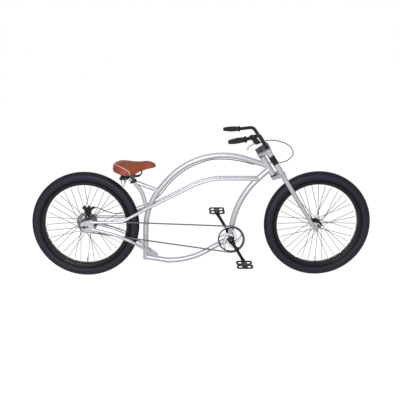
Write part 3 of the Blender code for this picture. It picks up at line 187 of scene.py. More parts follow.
def loftedMesh(rings, closed=False):
    work = bmesh.new()
    loops = [[work.verts.new(point) for point in ring] for ring in rings]
    for ring, following in zip(loops, loops[1:] + loops[:1] if closed else loops[1:]):
        for corners in zip(ring, ring[1:] + ring[:1], following[1:] + following[:1], following):
            work.faces.new(corners)
    if not closed:
        work.faces.new(loops[0])
        work.faces.new(loops[-1])
    return finishedMesh(work)


def tubeMesh(path, radius, around=24, factors=None, closed=False, facing=None):
    points = [Vector(point) for point in path]
    count = len(points)
    rings = []
    side = None
    for index, point in enumerate(points):
        before = points[index - 1] if index or closed else point
        after = points[(index + 1) % count] if index < count - 1 or closed else point
        ahead = (after - before).normalized()
        side = facing if facing is not None else side or ahead.orthogonal()
        side = (side - ahead * side.dot(ahead)).normalized()
        up = ahead.cross(side)
        reach = radius * (factors[index] if factors else 1)
        rings.append([point + reach * (cos(2 * pi * step / around) * side + sin(2 * pi * step / around) * up)
            for step in range(around)])
    return loftedMesh(rings, closed)


def turnedMesh(profile, segments=48, closed=False):
    work = bmesh.new()
    verts = [work.verts.new((radius, 0, z)) for radius, z in profile]
    edges = [work.edges.new(pair) for pair in zip(verts, verts[1:])]
    if closed:
        edges.append(work.edges.new((verts[-1], verts[0])))
    bmesh.ops.spin(work, geom=verts + edges, axis=(0, 0, 1), cent=(0, 0, 0), steps=segments, angle=2 * pi)
    bmesh.ops.remove_doubles(work, verts=work.verts, dist=1e-6)
    loose = [edge for edge in work.edges if not edge.link_faces]
    bmesh.ops.delete(work, geom=loose, context="EDGES")
    return finishedMesh(work)


def ringMesh(inner, outer, low, high, edge, segments):
    return turnedMesh(ringProfile(inner, outer, low, high, edge), segments, True)


def discMesh(radius, low, high, segments=32, edge=0.0):
    return turnedMesh(ringProfile(0, radius, low, high, edge), segments)


def plateMesh(outlines, low, high):
    work = bmesh.new()
    edges = []
    for outline in outlines:
        verts = [work.verts.new((x, y, low)) for x, y in outline]
        edges += [work.edges.new(pair) for pair in zip(verts, verts[1:] + verts[:1])]
    bmesh.ops.triangle_fill(work, edges=edges, use_beauty=True)
    grown = bmesh.ops.extrude_face_region(work, geom=work.faces[:])
    top = [item for item in grown["geom"] if isinstance(item, bmesh.types.BMVert)]
    bmesh.ops.translate(work, verts=top, vec=(0, 0, high - low))
    bmesh.ops.dissolve_limit(work, angle_limit=radians(0.5), verts=work.verts, edges=work.edges,
        delimit={"NORMAL"})
    return finishedMesh(work)


def blockMesh(low, high):
    work = bmesh.new()
    bmesh.ops.create_cube(work, size=1)
    for vert in work.verts:
        vert.co = [a + (b - a) * (c + 0.5) for a, b, c in zip(low, high, vert.co)]
    return finishedMesh(work)


def hexMesh(across, low, high):
    return plateMesh([circlePoints((0, 0), across / 2 / cos(pi / 6), 6)], low, high)


def hullMesh(balls):
    work = bmesh.new()
    for centre, radius in balls:
        for high in (rise * pi / 7 for rise in range(-3, 4)):
            for turn in (step * pi / 6 for step in range(12)):
                ray = Vector((cos(high) * cos(turn), cos(high) * sin(turn), sin(high)))
                work.verts.new(Vector(centre) + radius * ray)
    hull = bmesh.ops.convex_hull(work, input=work.verts)
    inside = [item for item in hull["geom_interior"] if isinstance(item, bmesh.types.BMVert)]
    bmesh.ops.delete(work, geom=inside, context="VERTS")
    return finishedMesh(work)


def bolt(radius, high, place, angle=0.0, axis="X"):
    profile = [(0, high * 0.45), (radius * 0.5, high * 0.45), (radius * 0.5, high), (radius * 0.88, high),
        (radius, high * 0.8), (radius, 0), (0, 0)]
    return turnedMesh(profile, 16), moved(place) @ turned(angle, axis)


def joinedMesh(parts):
    work = bmesh.new()
    for part in parts:
        mesh, place = part if isinstance(part, tuple) else (part, Matrix.Identity(4))
        mesh.transform(place)
        work.from_mesh(mesh)
    return finishedMesh(work, False)


def between(start, end):
    start, end = Vector(start), Vector(end)
    return moved(start) @ (end - start).to_track_quat("Z", "Y").to_matrix().to_4x4()


# Shader node groups shared by the finishes

def setInputs(tree, node, inputs):
    for key, value in inputs.items():
        if isinstance(value, bpy.types.NodeSocket):
            tree.links.new(value, node.inputs[key])
        else:
            node.inputs[key].default_value = value


def newNode(tree, kind, inputs=None, **settings):
    node = tree.nodes.new("ShaderNode" + kind)
    for key, value in settings.items():
        setattr(node, key, value)
    setInputs(tree, node, inputs or {})
    return node.outputs


def maths(tree, operation, *values):
    return newNode(tree, "Math", dict(enumerate(values)), operation=operation)[0]


def nodeGroup(name, inputs, outputs):
    group = bpy.data.node_groups.new(name, "ShaderNodeTree")
    for label, value in inputs.items():
        socket = group.interface.new_socket(label, in_out="INPUT", socket_type="NodeSocketFloat")
        socket.default_value = value
    for label in outputs:
        group.interface.new_socket(label, in_out="OUTPUT", socket_type="NodeSocketFloat")
    return group, group.nodes.new("NodeGroupInput").outputs, group.nodes.new("NodeGroupOutput")


def makeMottleGroup():
    group, given, result = nodeGroup("mottle", {"Size": 8.0, "Grain": 400.0, "Contrast": 1.0},
        ("Tone", "Fine"))
    place = newNode(group, "TexCoord")["Object"]
    broad = newNode(group, "TexNoise", {"Vector": place, "Scale": given["Size"], "Detail": 4.0})[0]
    fine = newNode(group, "TexNoise", {"Vector": place, "Scale": given["Grain"], "Detail": 2.0})[0]
    spread = maths(group, "MULTIPLY", maths(group, "SUBTRACT", broad, 0.5), given["Contrast"])
    tone = newNode(group, "Math", {0: spread, 1: 0.5}, operation="ADD", use_clamp=True)[0]
    setInputs(group, result, {"Tone": tone, "Fine": fine})
    return group


def makeEdgeGroup():
    group, given, result = nodeGroup("edgeRub", {"From": 0.53, "To": 0.60, "Breakup": 60.0}, ("Mask",))
    sharp = newNode(group, "NewGeometry")["Pointiness"]
    place = newNode(group, "TexCoord")["Object"]
    rough = newNode(group, "TexNoise", {"Vector": place, "Scale": given["Breakup"], "Detail": 3.0})[0]
    rim = newNode(group, "MapRange", {"Value": sharp, "From Min": given["From"], "From Max": given["To"]})[0]
    mask = newNode(group, "Math", {0: rim, 1: rough}, operation="MULTIPLY", use_clamp=True)[0]
    setInputs(group, result, {"Mask": mask})
    return group


mottleGroup, edgeGroup = makeMottleGroup(), makeEdgeGroup()


# Finishes: a tyre look has a painted sheen stripe (a lighter sidewall stripe standing for the light the
# sidewall catches) and fine rings, a leather look has pores, and the others may have worn edges

looks = {
    "silverPaint": {"slot": "silver_frame", "colour": (0.46, 0.46, 0.50), "shade": (0.44, 0.44, 0.48),
        "roughness": (0.35, 0.36), "metallic": 0.35, "specular": 0.06, "size": 5.0, "contrast": 1.0,
        "grain": 1500.0, "bump": 0.004},
    "weldSilver": {"slot": "silver_frame", "colour": (0.58, 0.58, 0.62), "shade": (0.66, 0.66, 0.70),
        "roughness": (0.40, 0.50), "specular": 0.12, "size": 300.0, "bump": 0.15},
    "brightSteel": {"slot": "polished_metal", "colour": (0.60, 0.60, 0.63), "shade": (0.52, 0.52, 0.55),
        "worn": (0.78, 0.78, 0.80), "roughness": (0.12, 0.20), "metallic": 1.0},
    "spokeSteel": {"slot": "spoke_steel", "colour": (0.034, 0.034, 0.038), "shade": (0.024, 0.024, 0.028),
        "roughness": (0.30, 0.40), "metallic": 0.15, "specular": 0.15},
    "chainSteel": {"slot": "chain_steel", "colour": (0.060, 0.060, 0.066), "shade": (0.030, 0.030, 0.034),
        "worn": (0.24, 0.24, 0.26), "roughness": (0.30, 0.48), "metallic": 0.4, "size": 120.0,
        "specular": 0.3},
    "rotorSteel": {"slot": "polished_metal", "colour": (0.30, 0.30, 0.36), "shade": (0.12, 0.12, 0.16),
        "worn": (0.50, 0.50, 0.55), "roughness": (0.30, 0.42), "metallic": 0.5, "size": 90.0,
        "contrast": 3.0},
    "blackPaint": {"slot": "black_metal", "colour": (0.008, 0.008, 0.011), "shade": (0.013, 0.013, 0.017),
        "worn": (0.035, 0.035, 0.040), "roughness": (0.26, 0.34), "specular": 0.16},
    "satinBlack": {"slot": "black_metal", "colour": (0.009, 0.009, 0.012), "shade": (0.015, 0.015, 0.019),
        "worn": (0.040, 0.040, 0.046), "roughness": (0.36, 0.48), "specular": 0.16},
    "darkAlloy": {"slot": "dark_steel", "colour": (0.034, 0.034, 0.044), "shade": (0.050, 0.050, 0.062),
        "worn": (0.15, 0.15, 0.17), "roughness": (0.30, 0.42), "metallic": 0.35, "specular": 0.35},
    "pedalPlastic": {"slot": "pedal_plastic", "colour": (0.008, 0.008, 0.010), "shade": (0.013, 0.013, 0.016),
        "worn": (0.040, 0.040, 0.045), "roughness": (0.42, 0.55), "grain": 900.0, "bump": 0.15,
        "specular": 0.25},
    "cableSleeve": {"slot": "cable_sleeve", "colour": (0.012, 0.012, 0.015), "shade": (0.018, 0.018, 0.022),
        "roughness": (0.34, 0.46), "grain": 900.0, "specular": 0.25},
    "pipingCream": {"slot": "saddle_leather", "colour": (0.80, 0.66, 0.55), "shade": (0.68, 0.53, 0.43),
        "roughness": (0.45, 0.60), "size": 90.0, "grain": 2000.0, "bump": 0.2},
    # painted sheen: the tyre's lighter colour between the bandIn and bandOut radii is a sidewall stripe
    # standing for the light the sidewall catches
    "tyreRubber": {"slot": "tyre_rubber", "colour": (0.0065, 0.0065, 0.0105),
        "shade": (0.0100, 0.0100, 0.0150), "sheenBand": (0.021, 0.021, 0.033), "bandIn": (0.294, 0.306),
        "bandOut": (0.330, 0.340), "roughness": (0.46, 0.58), "size": 14.0, "grain": 1100.0, "contrast": 1.0,
        "ringPitch": 0.0012, "bump": 0.25, "bumpHigh": 0.0006, "specular": 0.12},
    "saddleLeather": {"slot": "saddle_leather", "colour": (0.390, 0.105, 0.042),
        "shade": (0.255, 0.056, 0.026), "pore": (0.16, 0.034, 0.017), "size": 16.0, "grain": 900.0,
        "contrast": 2.2, "cells": 620.0, "roughness": (0.40, 0.54), "bump": 0.25, "bumpHigh": 0.0005,
        "specular": 0.22},
    "gripRubber": {"slot": "grip_rubber", "colour": (0.008, 0.008, 0.011), "shade": (0.014, 0.014, 0.018),
        "pore": (0.004, 0.004, 0.006), "size": 20.0, "grain": 900.0, "contrast": 2.2, "cells": 480.0,
        "roughness": (0.50, 0.64), "bump": 0.35, "bumpHigh": 0.0005, "specular": 0.25},
}
looks["rearPanelLeather"] = dict(looks["saddleLeather"], colour=(0.370, 0.062, 0.048),
    shade=(0.250, 0.042, 0.034))


def mixColour(tree, factor, *colours):
    first, second = (colour if isinstance(colour, bpy.types.NodeSocket) else (*colour, 1)
        for colour in colours)
    return newNode(tree, "Mix", {0: factor, 6: first, 7: second}, data_type="RGBA")[2]


# painted sheen: a lighter stripe across the sidewall radii, standing for the light the sidewall's bulge
# catches; it also returns the fine rings for the bump
def tyreSheenBand(tree, look, place):
    axes = newNode(tree, "SeparateXYZ", {0: place})
    flat = newNode(tree, "CombineXYZ", {0: axes[0], 1: axes[1]})[0]
    reach = newNode(tree, "VectorMath", {0: flat}, operation="LENGTH")["Value"]
    rise, fall = (newNode(tree, "MapRange", {"Value": reach, "From Min": look[edge][0],
        "From Max": look[edge][1]}, interpolation_type="SMOOTHSTEP")[0] for edge in ("bandIn", "bandOut"))
    sheenBand = newNode(tree, "Math", {0: rise, 1: fall}, operation="SUBTRACT", use_clamp=True)[0]
    return sheenBand, maths(tree, "PINGPONG", reach, look["ringPitch"])


def leatherPores(tree, look, place):
    cells = newNode(tree, "TexVoronoi", {"Vector": place, "Scale": look["cells"]}, feature="DISTANCE_TO_EDGE")
    return newNode(tree, "MapRange", {"Value": cells["Distance"], "From Max": 0.25})[0]


def makeFinish(name, look):
    material = bpy.data.materials.new(name)
    material.use_nodes = True
    material.diffuse_color = (*look["colour"], 1)
    tree = material.node_tree
    mottle = newNode(tree, "Group", {"Size": look.get("size", 9.0), "Grain": look.get("grain", 700.0),
        "Contrast": look.get("contrast", 1.4)}, node_tree=mottleGroup)
    place = newNode(tree, "TexCoord")["Object"]
    height = mottle["Fine"]
    spread = {"Value": height, "From Min": 0.3, "From Max": 0.7}
    colour = mixColour(tree, mottle["Tone"], look["colour"], look["shade"])
    if "worn" in look:
        colour = mixColour(tree, newNode(tree, "Group", node_tree=edgeGroup)["Mask"], colour, look["worn"])
    # painted sheen: the tyre's lighter sidewall stripe is mixed into the colour here
    if "sheenBand" in look:
        sheenBand, rings = tyreSheenBand(tree, look, place)
        colour = mixColour(tree, sheenBand, colour, look["sheenBand"])
        height = maths(tree, "MULTIPLY", rings, height)
    if "pore" in look:
        pores = leatherPores(tree, look, place)
        colour = mixColour(tree, pores, look["pore"], colour)
        height = maths(tree, "ADD", pores, height)
        spread = {"Value": mottle["Tone"]}
    low, high = look["roughness"]
    bump = {"Strength": look.get("bump", 0.05), "Distance": look.get("bumpHigh", 0.0004), "Height": height}
    setInputs(tree, tree.nodes["Principled BSDF"], {"Base Color": colour,
        "Metallic": look.get("metallic", 0.0), "Normal": newNode(tree, "Bump", bump)[0],
        "Roughness": newNode(tree, "MapRange", {**spread, "To Min": low, "To Max": high})[0],
        "Specular IOR Level": look.get("specular", 0.5)})
    return material


finishes = {name: makeFinish(name, look) for name, look in looks.items()}
print("finishes made")


def newItem(name, data):
    item = bpy.data.objects.new(name, data)
    bpy.context.collection.objects.link(item)
    return item


def addPiece(name, mesh, finish, body, place=None, stands=(), rounding=0.0, sharpAngle=38, extra=()):
    mesh.name = name
    item = newItem(name, mesh)
    if place is not None:
        item.matrix_world = place
    for each in (finish, *extra):
        mesh.materials.append(finishes[each])
    mesh.shade_smooth()
    if rounding:
        bevel = item.modifiers.new("rounding", "BEVEL")
        bevel.width = rounding
        bevel.segments = 2
        bevel.limit_method = "ANGLE"
        bevel.angle_limit = radians(40)
        bevel.harden_normals = True
    else:
        mesh.set_sharp_from_angle(angle=radians(sharpAngle))
    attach(item, body)
    if stands:
        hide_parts(*stands)
    return item


# Camera, floor and light

stage = {
    "azimuth": -0.739, "elevation": 13.929, "distance": 3.966, "target": (0.448, 0.0, -0.261), "lens": 54.75,
    "sensor": 36, "floorHalf": 14.0, "floorGap": 0.0005, "floorColour": 0.44, "floorRough": 0.9,
    "near": 2.5, "nearGlow": 0.93, "far": 8.0, "farGlow": 0.97, "worldFill": 0.12, "lampAim": (0.45, 0, -0.3),
    "lamps": {"topSoftbox": ((0.2, -0.6, 2.6), (2.6, 1.6), 14.0),
        "frontSoftbox": ((-0.1, -3.6, 0.9), (1.6, 1.2), 140.0)},
}


def placeCamera():
    turn, lift = radians(stage["azimuth"]), radians(stage["elevation"])
    back = Vector((sin(turn) * cos(lift), -cos(turn) * cos(lift), sin(lift)))
    camera = newItem("camera", bpy.data.cameras.new("camera"))
    camera.data.lens, camera.data.sensor_width = stage["lens"], stage["sensor"]
    camera.location = Vector(stage["target"]) + back * stage["distance"]
    camera.rotation_mode = "QUATERNION"
    camera.rotation_quaternion = (-back).to_track_quat("-Z", "Y")
    bpy.context.scene.camera = camera


def raysThatSee(tree):
    rays = newNode(tree, "LightPath")
    seen = maths(tree, "MAXIMUM", rays["Is Camera Ray"], rays["Is Glossy Ray"])
    return maths(tree, "MAXIMUM", seen, rays["Is Transmission Ray"])


def layFloor():
    half, middle, ground = stage["floorHalf"], stage["target"][0], cadBounds[0][2] - stage["floorGap"]
    corners = [(middle + x * half, y * half, ground) for x, y in ((-1, -1), (1, -1), (1, 1), (-1, 1))]
    mesh = bpy.data.meshes.new("floor")
    mesh.from_pydata(corners, [], [(0, 1, 2, 3)])
    floor = newItem("floor", mesh)
    material = bpy.data.materials.new("paleFloor")
    material.use_nodes = True
    tree = material.node_tree
    reach = newNode(tree, "VectorMath", {0: newNode(tree, "NewGeometry")["Position"]},
        operation="LENGTH")["Value"]
    level = newNode(tree, "MapRange", {"Value": reach, "From Min": stage["near"], "From Max": stage["far"],
        "To Min": stage["nearGlow"], "To Max": stage["farGlow"]})[0]
    setInputs(tree, tree.nodes["Principled BSDF"], {"Base Color": (*[stage["floorColour"]] * 3, 1),
        "Roughness": stage["floorRough"], "Specular IOR Level": 0.0, "Emission Color": (1, 1, 1, 1),
        "Emission Strength": maths(tree, "MULTIPLY", raysThatSee(tree), level)})
    mesh.materials.append(material)


def lightWorld():
    world = bpy.data.worlds.new("paleStudio")
    world.use_nodes = True
    bpy.context.scene.world = world
    tree = world.node_tree
    fill = {"Value": raysThatSee(tree), "To Min": stage["worldFill"], "To Max": 1.0}
    setInputs(tree, tree.nodes["Background"], {"Color": (1, 1, 1, 1),
        "Strength": newNode(tree, "MapRange", fill)[0]})


def addLamp(name, place, size, strength):
    lamp = newItem(name, bpy.data.lights.new(name, "AREA"))
    lamp.data.shape, lamp.data.energy = "RECTANGLE", strength
    lamp.data.size, lamp.data.size_y = size
    lamp.location = place
    lamp.rotation_euler = (Vector(stage["lampAim"]) - Vector(place)).to_track_quat("-Z", "Y").to_euler()


bpy.context.scene.view_settings.view_transform = "Standard"
placeCamera()
layFloor()
lightWorld()
for lampName, settings in stage["lamps"].items():
    addLamp(lampName, *settings)
print("stage set")


# Brake cable, its route repeated from the CAD source

cableLook = {"radius": 0.0028}
layoutShift = Vector((rearAxle.x, 0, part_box("rear_tyre")[0].z))
cableOnFrame = [
    (1.160, 0.028, 0.748), (1.120, 0.021, 0.742), (1.080, 0.008, 0.748), (1.042, 0.000, 0.760),
    (0.967, 0.000, 0.775), (0.889, 0.000, 0.781), (0.812, 0.000, 0.776), (0.723, 0.000, 0.746),
    (0.671, 0.000, 0.721), (0.619, 0.000, 0.686), (0.567, 0.000, 0.640), (0.530, 0.004, 0.596),
    (0.500, 0.016, 0.556), (0.465, 0.025, 0.518), (0.425, 0.032, 0.491), (0.380, 0.040, 0.470),
    (0.332, 0.050, 0.449), (0.290, 0.058, 0.426), (0.250, 0.063, 0.409), (0.197, 0.066, 0.404),
    (0.151, 0.066, 0.411), (0.118, 0.0645, 0.423), (0.088, 0.0615, 0.438), (0.070, 0.0600, 0.4455),
    (0.0565, 0.0595, 0.4460),
]
cableLoop = [
    (1.1605, 0.0281, 0.7480), (1.185, 0.031, 0.751), (1.215, 0.028, 0.750), (1.250, 0.018, 0.752),
    (1.298, 0.000, 0.766), (1.328, -0.022, 0.794), (1.338, -0.045, 0.828), (1.316, -0.074, 0.868),
    (1.276, -0.102, 0.898), (1.228, -0.128, 0.916), (1.182, -0.150, 0.925), (1.140, -0.170, 0.922),
    (1.112, -0.186, 0.915),
]


def layoutPoints(points):
    return [Vector(point) + layoutShift for point in points]


def runCable():
    radius = cableLook["radius"]
    framePath = smoothPath(layoutPoints(cableOnFrame), 6)
    addPiece("brakeCableRun", tubeMesh(framePath, radius, 14), "cableSleeve", "frame",
        stands=("brake_cable",))
    loopPath = smoothPath(layoutPoints(cableLoop), 8)
    loop = newItem("brakeCableFree", tubeMesh(loopPath, radius, 14))
    loop.data.materials.append(finishes["cableSleeve"])
    loop.data.shade_smooth()
    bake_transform(loop)
    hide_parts("brake_cable_loop")


runCable()
print("cable run")


# Frame tubes, from (ahead of the seat tube, above the rear axle)

tubes = {
    "mainRadius": 0.0175, "downRadius": 0.0190, "stayRadius": 0.00975, "mastRadius": 0.0127,
    "headRadius": 0.020, "shellRadius": 0.021, "shellWidth": 0.073,
    "headLow": 0.438, "headLength": 0.1375, "archOnHead": 0.065, "downOnHead": 0.044,
    "arch": ((0.0, -0.2430), (0.0087, 0.1282), (0.3510, 0.5315)), "archBends": (0.41, 0.681),
    "belly": ((0.0, -0.2258), (0.1447, -0.2515), (0.2913, -0.2529)), "bellyBends": (0.057, 0.941),
    "downLean": 0.0233, "downRise": 0.2628, "downBend": (0.837,),
    "mast": ((-0.0676, 0.2962), (-0.0468, 0.2570), (-0.0147, 0.2188), (0.0098, 0.1180)),
    "mastBends": (0.143, 0.705),
    "strut": ((-0.0478, 0.2790), (0.0872, 0.2255)),
    "railFront": 0.3049, "dropoutOut": 0.0705, "wide": 0.0645, "waist": 0.0520,
    "railBends": (0.275, 0.088, 0.172, 0.320), "stayBends": (0.085, 0.100, 0.068),
    "touch": 0.0003,
    "cup": ((0.0147, 0), (0.0205, 0), (0.0225, 0.0015), (0.0225, 0.0048), (0.0216, 0.0056), (0.0216, 0.0066),
        (0.0222, 0.0072), (0.0200, 0.0085), (0.0147, 0.0085)),
}
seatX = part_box("arch_seat_tube")[0].x + tubes["mainRadius"]


def framePoint(ahead, up, out=0.0):
    return Vector((seatX + ahead, out, rearAxle.z + up))


def steerPoint(up, ahead=0.0, out=0.0):
    return steerSpace @ Vector((ahead, out, up))


def atHeight(path, height):
    for low, high in zip(path, path[1:]):
        if low.z <= height <= high.z:
            return low.lerp(high, (height - low.z) / (high.z - low.z))
    return path[-1]


def weldBead(start, end, radius, hosts, size=0.0022, around=56):
    start, end = Vector(start), Vector(end)
    ahead = (end - start).normalized()
    place = between(start - ahead * radius * 2, end)
    runs = [[]]
    for step in range(around + 1):
        angle = 2 * pi * step / around
        origin = place @ Vector((radius * cos(angle), radius * sin(angle), 0))
        hits = [host.ray_cast(origin, ahead, (end - start).length + radius * 6) for host in hosts]
        hits = [hit for hit in hits if hit[0] is not None]
        if hits:
            runs[-1].append(min(hits, key=lambda hit: hit[3])[0])
        elif runs[-1]:
            runs.append([])
    run = max(runs, key=len)
    if len(run) < 6:
        return None
    closed = len(run) == around + 1
    run = run[:-1] if closed else run
    fine = smoothPath(run, 4, closed)
    ripple = [1 + 0.22 * sin(index * 1.9) for index in range(len(fine))]
    return tubeMesh(fine, size, 8, ripple, closed, ahead)


def buildFrameTubes():
    main, stay = tubes["mainRadius"], tubes["stayRadius"]
    archPath = bentPath([framePoint(*point) for point in tubes["arch"]]
        + [steerPoint(tubes["headLow"] + tubes["archOnHead"])], tubes["archBends"])
    bellyPath = bentPath([framePoint(*point) for point in tubes["belly"]] + [crankAxle], tubes["bellyBends"])
    downKnee = crankAxle + Vector((tubes["downLean"], 0, tubes["downRise"]))
    downPath = bentPath([crankAxle, downKnee, steerPoint(tubes["headLow"] + tubes["downOnHead"])],
        tubes["downBend"])
    mastPath = bentPath([framePoint(*point) for point in tubes["mast"]], tubes["mastBends"])
    strutPath = [framePoint(*point) for point in tubes["strut"]]
    routes = {"archTube": (archPath, main, ("arch_seat_tube",)),
        "bellyTube": (bellyPath, main, ("belly_tube",)),
        "downTube": (downPath, tubes["downRadius"], ("down_tube",)),
        "seatMast": (mastPath, tubes["mastRadius"], ("seat_mast",)),
        "seatStrut": (strutPath, tubes["mastRadius"], ("seat_strut",))}
    besideMain, besideDown = main + stay + tubes["touch"], tubes["downRadius"] + stay + tubes["touch"]
    front = atHeight(downPath, rearAxle.z + tubes["railFront"])
    start = 0.046 - (seatX - rearAxle.x)
    for name, side in sides:
        railCorners = ((start, 0.031, tubes["dropoutOut"]), (-0.1468, 0.031, tubes["wide"]),
            (-0.0688, 0.070, tubes["waist"]), (0.0052, 0.105, besideMain), (0.4085, 0.3066, besideMain),
            (front.x - 0.0035 - seatX, tubes["railFront"], besideDown))
        stayCorners = ((start, -0.0125, tubes["dropoutOut"]), (-0.1968, -0.0540, tubes["wide"]),
            (-0.0868, -0.1025, tubes["wide"] - 0.0025), (0.0062, -0.170, besideMain + tubes["touch"]),
            (0.0782, -0.219, 0.0197))
        rail = bentPath([framePoint(ahead, up, side * out) for ahead, up, out in railCorners],
            tubes["railBends"])
        lower = bentPath([framePoint(ahead, up, side * out) for ahead, up, out in stayCorners],
            tubes["stayBends"])
        routes[f"upperRail{name}"] = (rail, stay, (f"upper_rail_{name.lower()}",))
        routes[f"chainstay{name}"] = (lower, stay, (f"chainstay_{name.lower()}",))
    for name, (path, radius, stands) in routes.items():
        addPiece(name, tubeMesh(path, radius, 36), "silverPaint", "frame", stands=stands)
    return routes


def buildHeadAndShell():
    low, length, radius = tubes["headLow"], tubes["headLength"], tubes["headRadius"]
    high = low + length
    profile = [(0.0163, low), (radius - 0.0006, low), (radius, low + 0.0006), (radius, low + 0.010),
        (radius - 0.0012, low + 0.0115), (radius - 0.0012, high - 0.0115), (radius, high - 0.010),
        (radius, high - 0.0006), (radius - 0.0006, high), (0.0163, high)]
    addPiece("headTube", turnedMesh(profile, 56, True), "silverPaint", "frame", steerSpace, ("head_tube",))
    for name, node, base, flip in (("upperCup", "headset_upper", high + 0.0003, 1),
            ("lowerCup", "headset_lower", low - 0.0003, -1)):
        mesh = turnedMesh([(reach, base + flip * z) for reach, z in tubes["cup"]], 48, True)
        addPiece(name, mesh, "satinBlack", "frame", steerSpace, (node,))
    half, shell = tubes["shellWidth"] / 2, tubes["shellRadius"]
    barrel = ringMesh(0.0175, shell, -half, half, 0.0008, 56)
    cups = [turnedMesh([(0.0086, side * (half + 0.0008)), (0.0165, side * (half + 0.0008)),
        (0.0174, side * half), (0.0174, side * (half - 0.008)), (0.0086, side * (half - 0.008))], 40, True)
        for side in (-1, 1)]
    addPiece("crankShell", barrel, "silverPaint", "frame", crankSpace, ("bottom_bracket_shell",))
    addPiece("shellCups", joinedMesh(cups), "darkAlloy", "frame", crankSpace)


dropout = {"out": 0.0705, "thick": 0.006, "slotHalf": 0.0053, "slotDepth": 0.027, "tail": -0.027,
    "edge": ((-0.026, 0.025), (0.002, 0.038), (0.046, 0.049), (0.062, 0.040), (0.062, -0.032),
    (0.052, -0.036), (0.016, -0.036), (-0.018, -0.021)),
    "gusset": [(0.0, -0.226), (0.0, -0.164), (0.0252, -0.164), (0.0552, -0.210), (0.0552, -0.226)]}


def buildDropouts():
    half, tail = dropout["slotHalf"], dropout["tail"]
    slotArc = arcPoints((dropout["slotDepth"] - half, 0), half, -pi / 2, pi / 2, 10)
    for name, side in sides:
        edge = roundedOutline(list(dropout["edge"]), 0.28)
        outline = [(tail, -half)] + slotArc + [(tail, half)] + edge
        mesh = plateMesh([outline], -dropout["thick"] / 2, dropout["thick"] / 2)
        place = moved((rearAxle.x, side * dropout["out"], rearAxle.z)) @ uprightTurn
        addPiece(f"dropout{name}", mesh, "silverPaint", "frame", place, (f"rear_dropout_{name.lower()}",),
            0.0008)
    mesh = plateMesh([dropout["gusset"]], -0.003, 0.003)
    addPiece("cornerGusset", mesh, "silverPaint", "frame", moved(framePoint(0, 0)) @ uprightTurn,
        ("corner_gusset",), 0.0006)


def surfaceTree(name):
    item = bpy.data.objects[name]
    faces = [tuple(face.vertices) for face in item.data.polygons]
    return BVHTree.FromPolygons([item.matrix_world @ vert.co for vert in item.data.vertices], faces)


def endRun(end, inner, length):
    return end + (inner - end).normalized() * length, end


def buildWelds(routes):
    trees = {name: surfaceTree(name) for name in ("headTube", "crankShell", "archTube", "seatMast")}
    arch, down, belly, mast, strut = (routes[name][0]
        for name in ("archTube", "downTube", "bellyTube", "seatMast", "seatStrut"))
    main, thick, thin = tubes["mainRadius"], tubes["downRadius"], tubes["mastRadius"]
    runs = ((*endRun(arch[-1], arch[-2], 0.08), main, ("headTube",)),
        (*endRun(down[-1], down[-2], 0.08), thick, ("headTube", "archTube")),
        (*endRun(down[0], down[1], 0.07), thick, ("crankShell",)),
        (*endRun(belly[-1], belly[-2], 0.07), main, ("crankShell",)),
        (*endRun(belly[0], belly[1], 0.07), main, ("archTube",)),
        (*endRun(mast[-1], mast[-2], 0.09), thin, ("archTube",)),
        (strut[0].lerp(strut[1], 0.4), strut[1], thin, ("archTube",)),
        (strut[1].lerp(strut[0], 0.5), strut[0], thin, ("seatMast",)))
    beads = [weldBead(start, end, radius, [trees[name] for name in names])
        for start, end, radius, names in runs]
    addPiece("weldBeads", joinedMesh([bead for bead in beads if bead]), "weldSilver", "frame")


frameRoutes = buildFrameTubes()
buildHeadAndShell()
buildDropouts()
buildWelds(frameRoutes)
print("frame built")


# Wheels

wheel = {
    "tyreHalf": 0.037, "tyreCentre": 0.319, "crown": 0.031, "rimEdge": 0.2875,
    "rimHalf": 0.026, "rimInner": 0.265, "rimWall": 0.004, "spokes": 36, "crossings": 3,
        "spokeRadius": 0.0016,
    "valveLength": 0.034, "segments": 144, "tread": radians(143),
    "nipple": ((0, 0), (0.0022, 0), (0.0022, 0.003), (0.0018, 0.0035), (0.0018, 0.011), (0.0013, 0.012),
        (0, 0.012)),
    "grooves": ((0.0, 0.0016, 0.0011), (0.26, 0.0013, 0.0010), (0.52, 0.0013, 0.0010),
        (0.76, 0.0011, 0.0008)),
    "ribs": ((1.18, 0.0012, 0.0007), (1.36, 0.0010, 0.0004)),
}
hubs = {
    "rear": {"flangeOut": 0.034, "flangeRadius": 0.033, "half": 0.0595, "barrel": 0.015},
    "front": {"flangeOut": 0.034, "flangeRadius": 0.026, "half": 0.0420, "barrel": 0.015},
}


def tyreProfile():
    half, centre, crown, edge = wheel["tyreHalf"], wheel["tyreCentre"], wheel["crown"], wheel["rimEdge"]
    inward = (centre - edge - 0.001) / 0.8
    points = []
    steps = 150
    for index in range(steps + 1):
        angle = (index / steps - 0.5) * 2 * wheel["tread"]  # 0 is the middle of the tread
        reach = crown if abs(angle) < pi / 2 else inward
        offset = 0.0
        for where, width, depth in wheel["grooves"]:
            near = (abs(angle) - where) * half / (width / 2)
            offset -= depth * max(0.0, 1 - near ** 4) if abs(near) < 1 else 0.0
        for where, width, height in wheel["ribs"]:
            near = (abs(angle) - where) * half / (width / 2)
            offset += height * max(0.0, 1 - near ** 2) if abs(near) < 1 else 0.0
        points.append((centre + (reach + offset) * cos(angle), -(half + offset) * sin(angle)))
    return points + [(edge - 0.007, 0.0205), (edge - 0.007, -0.0205)]


def buildTyre(name, body, place):
    mesh = turnedMesh(tyreProfile(), wheel["segments"], True)
    addPiece(f"{name}Tyre", mesh, "tyreRubber", body, place, (f"{name}_tyre",), sharpAngle=60)


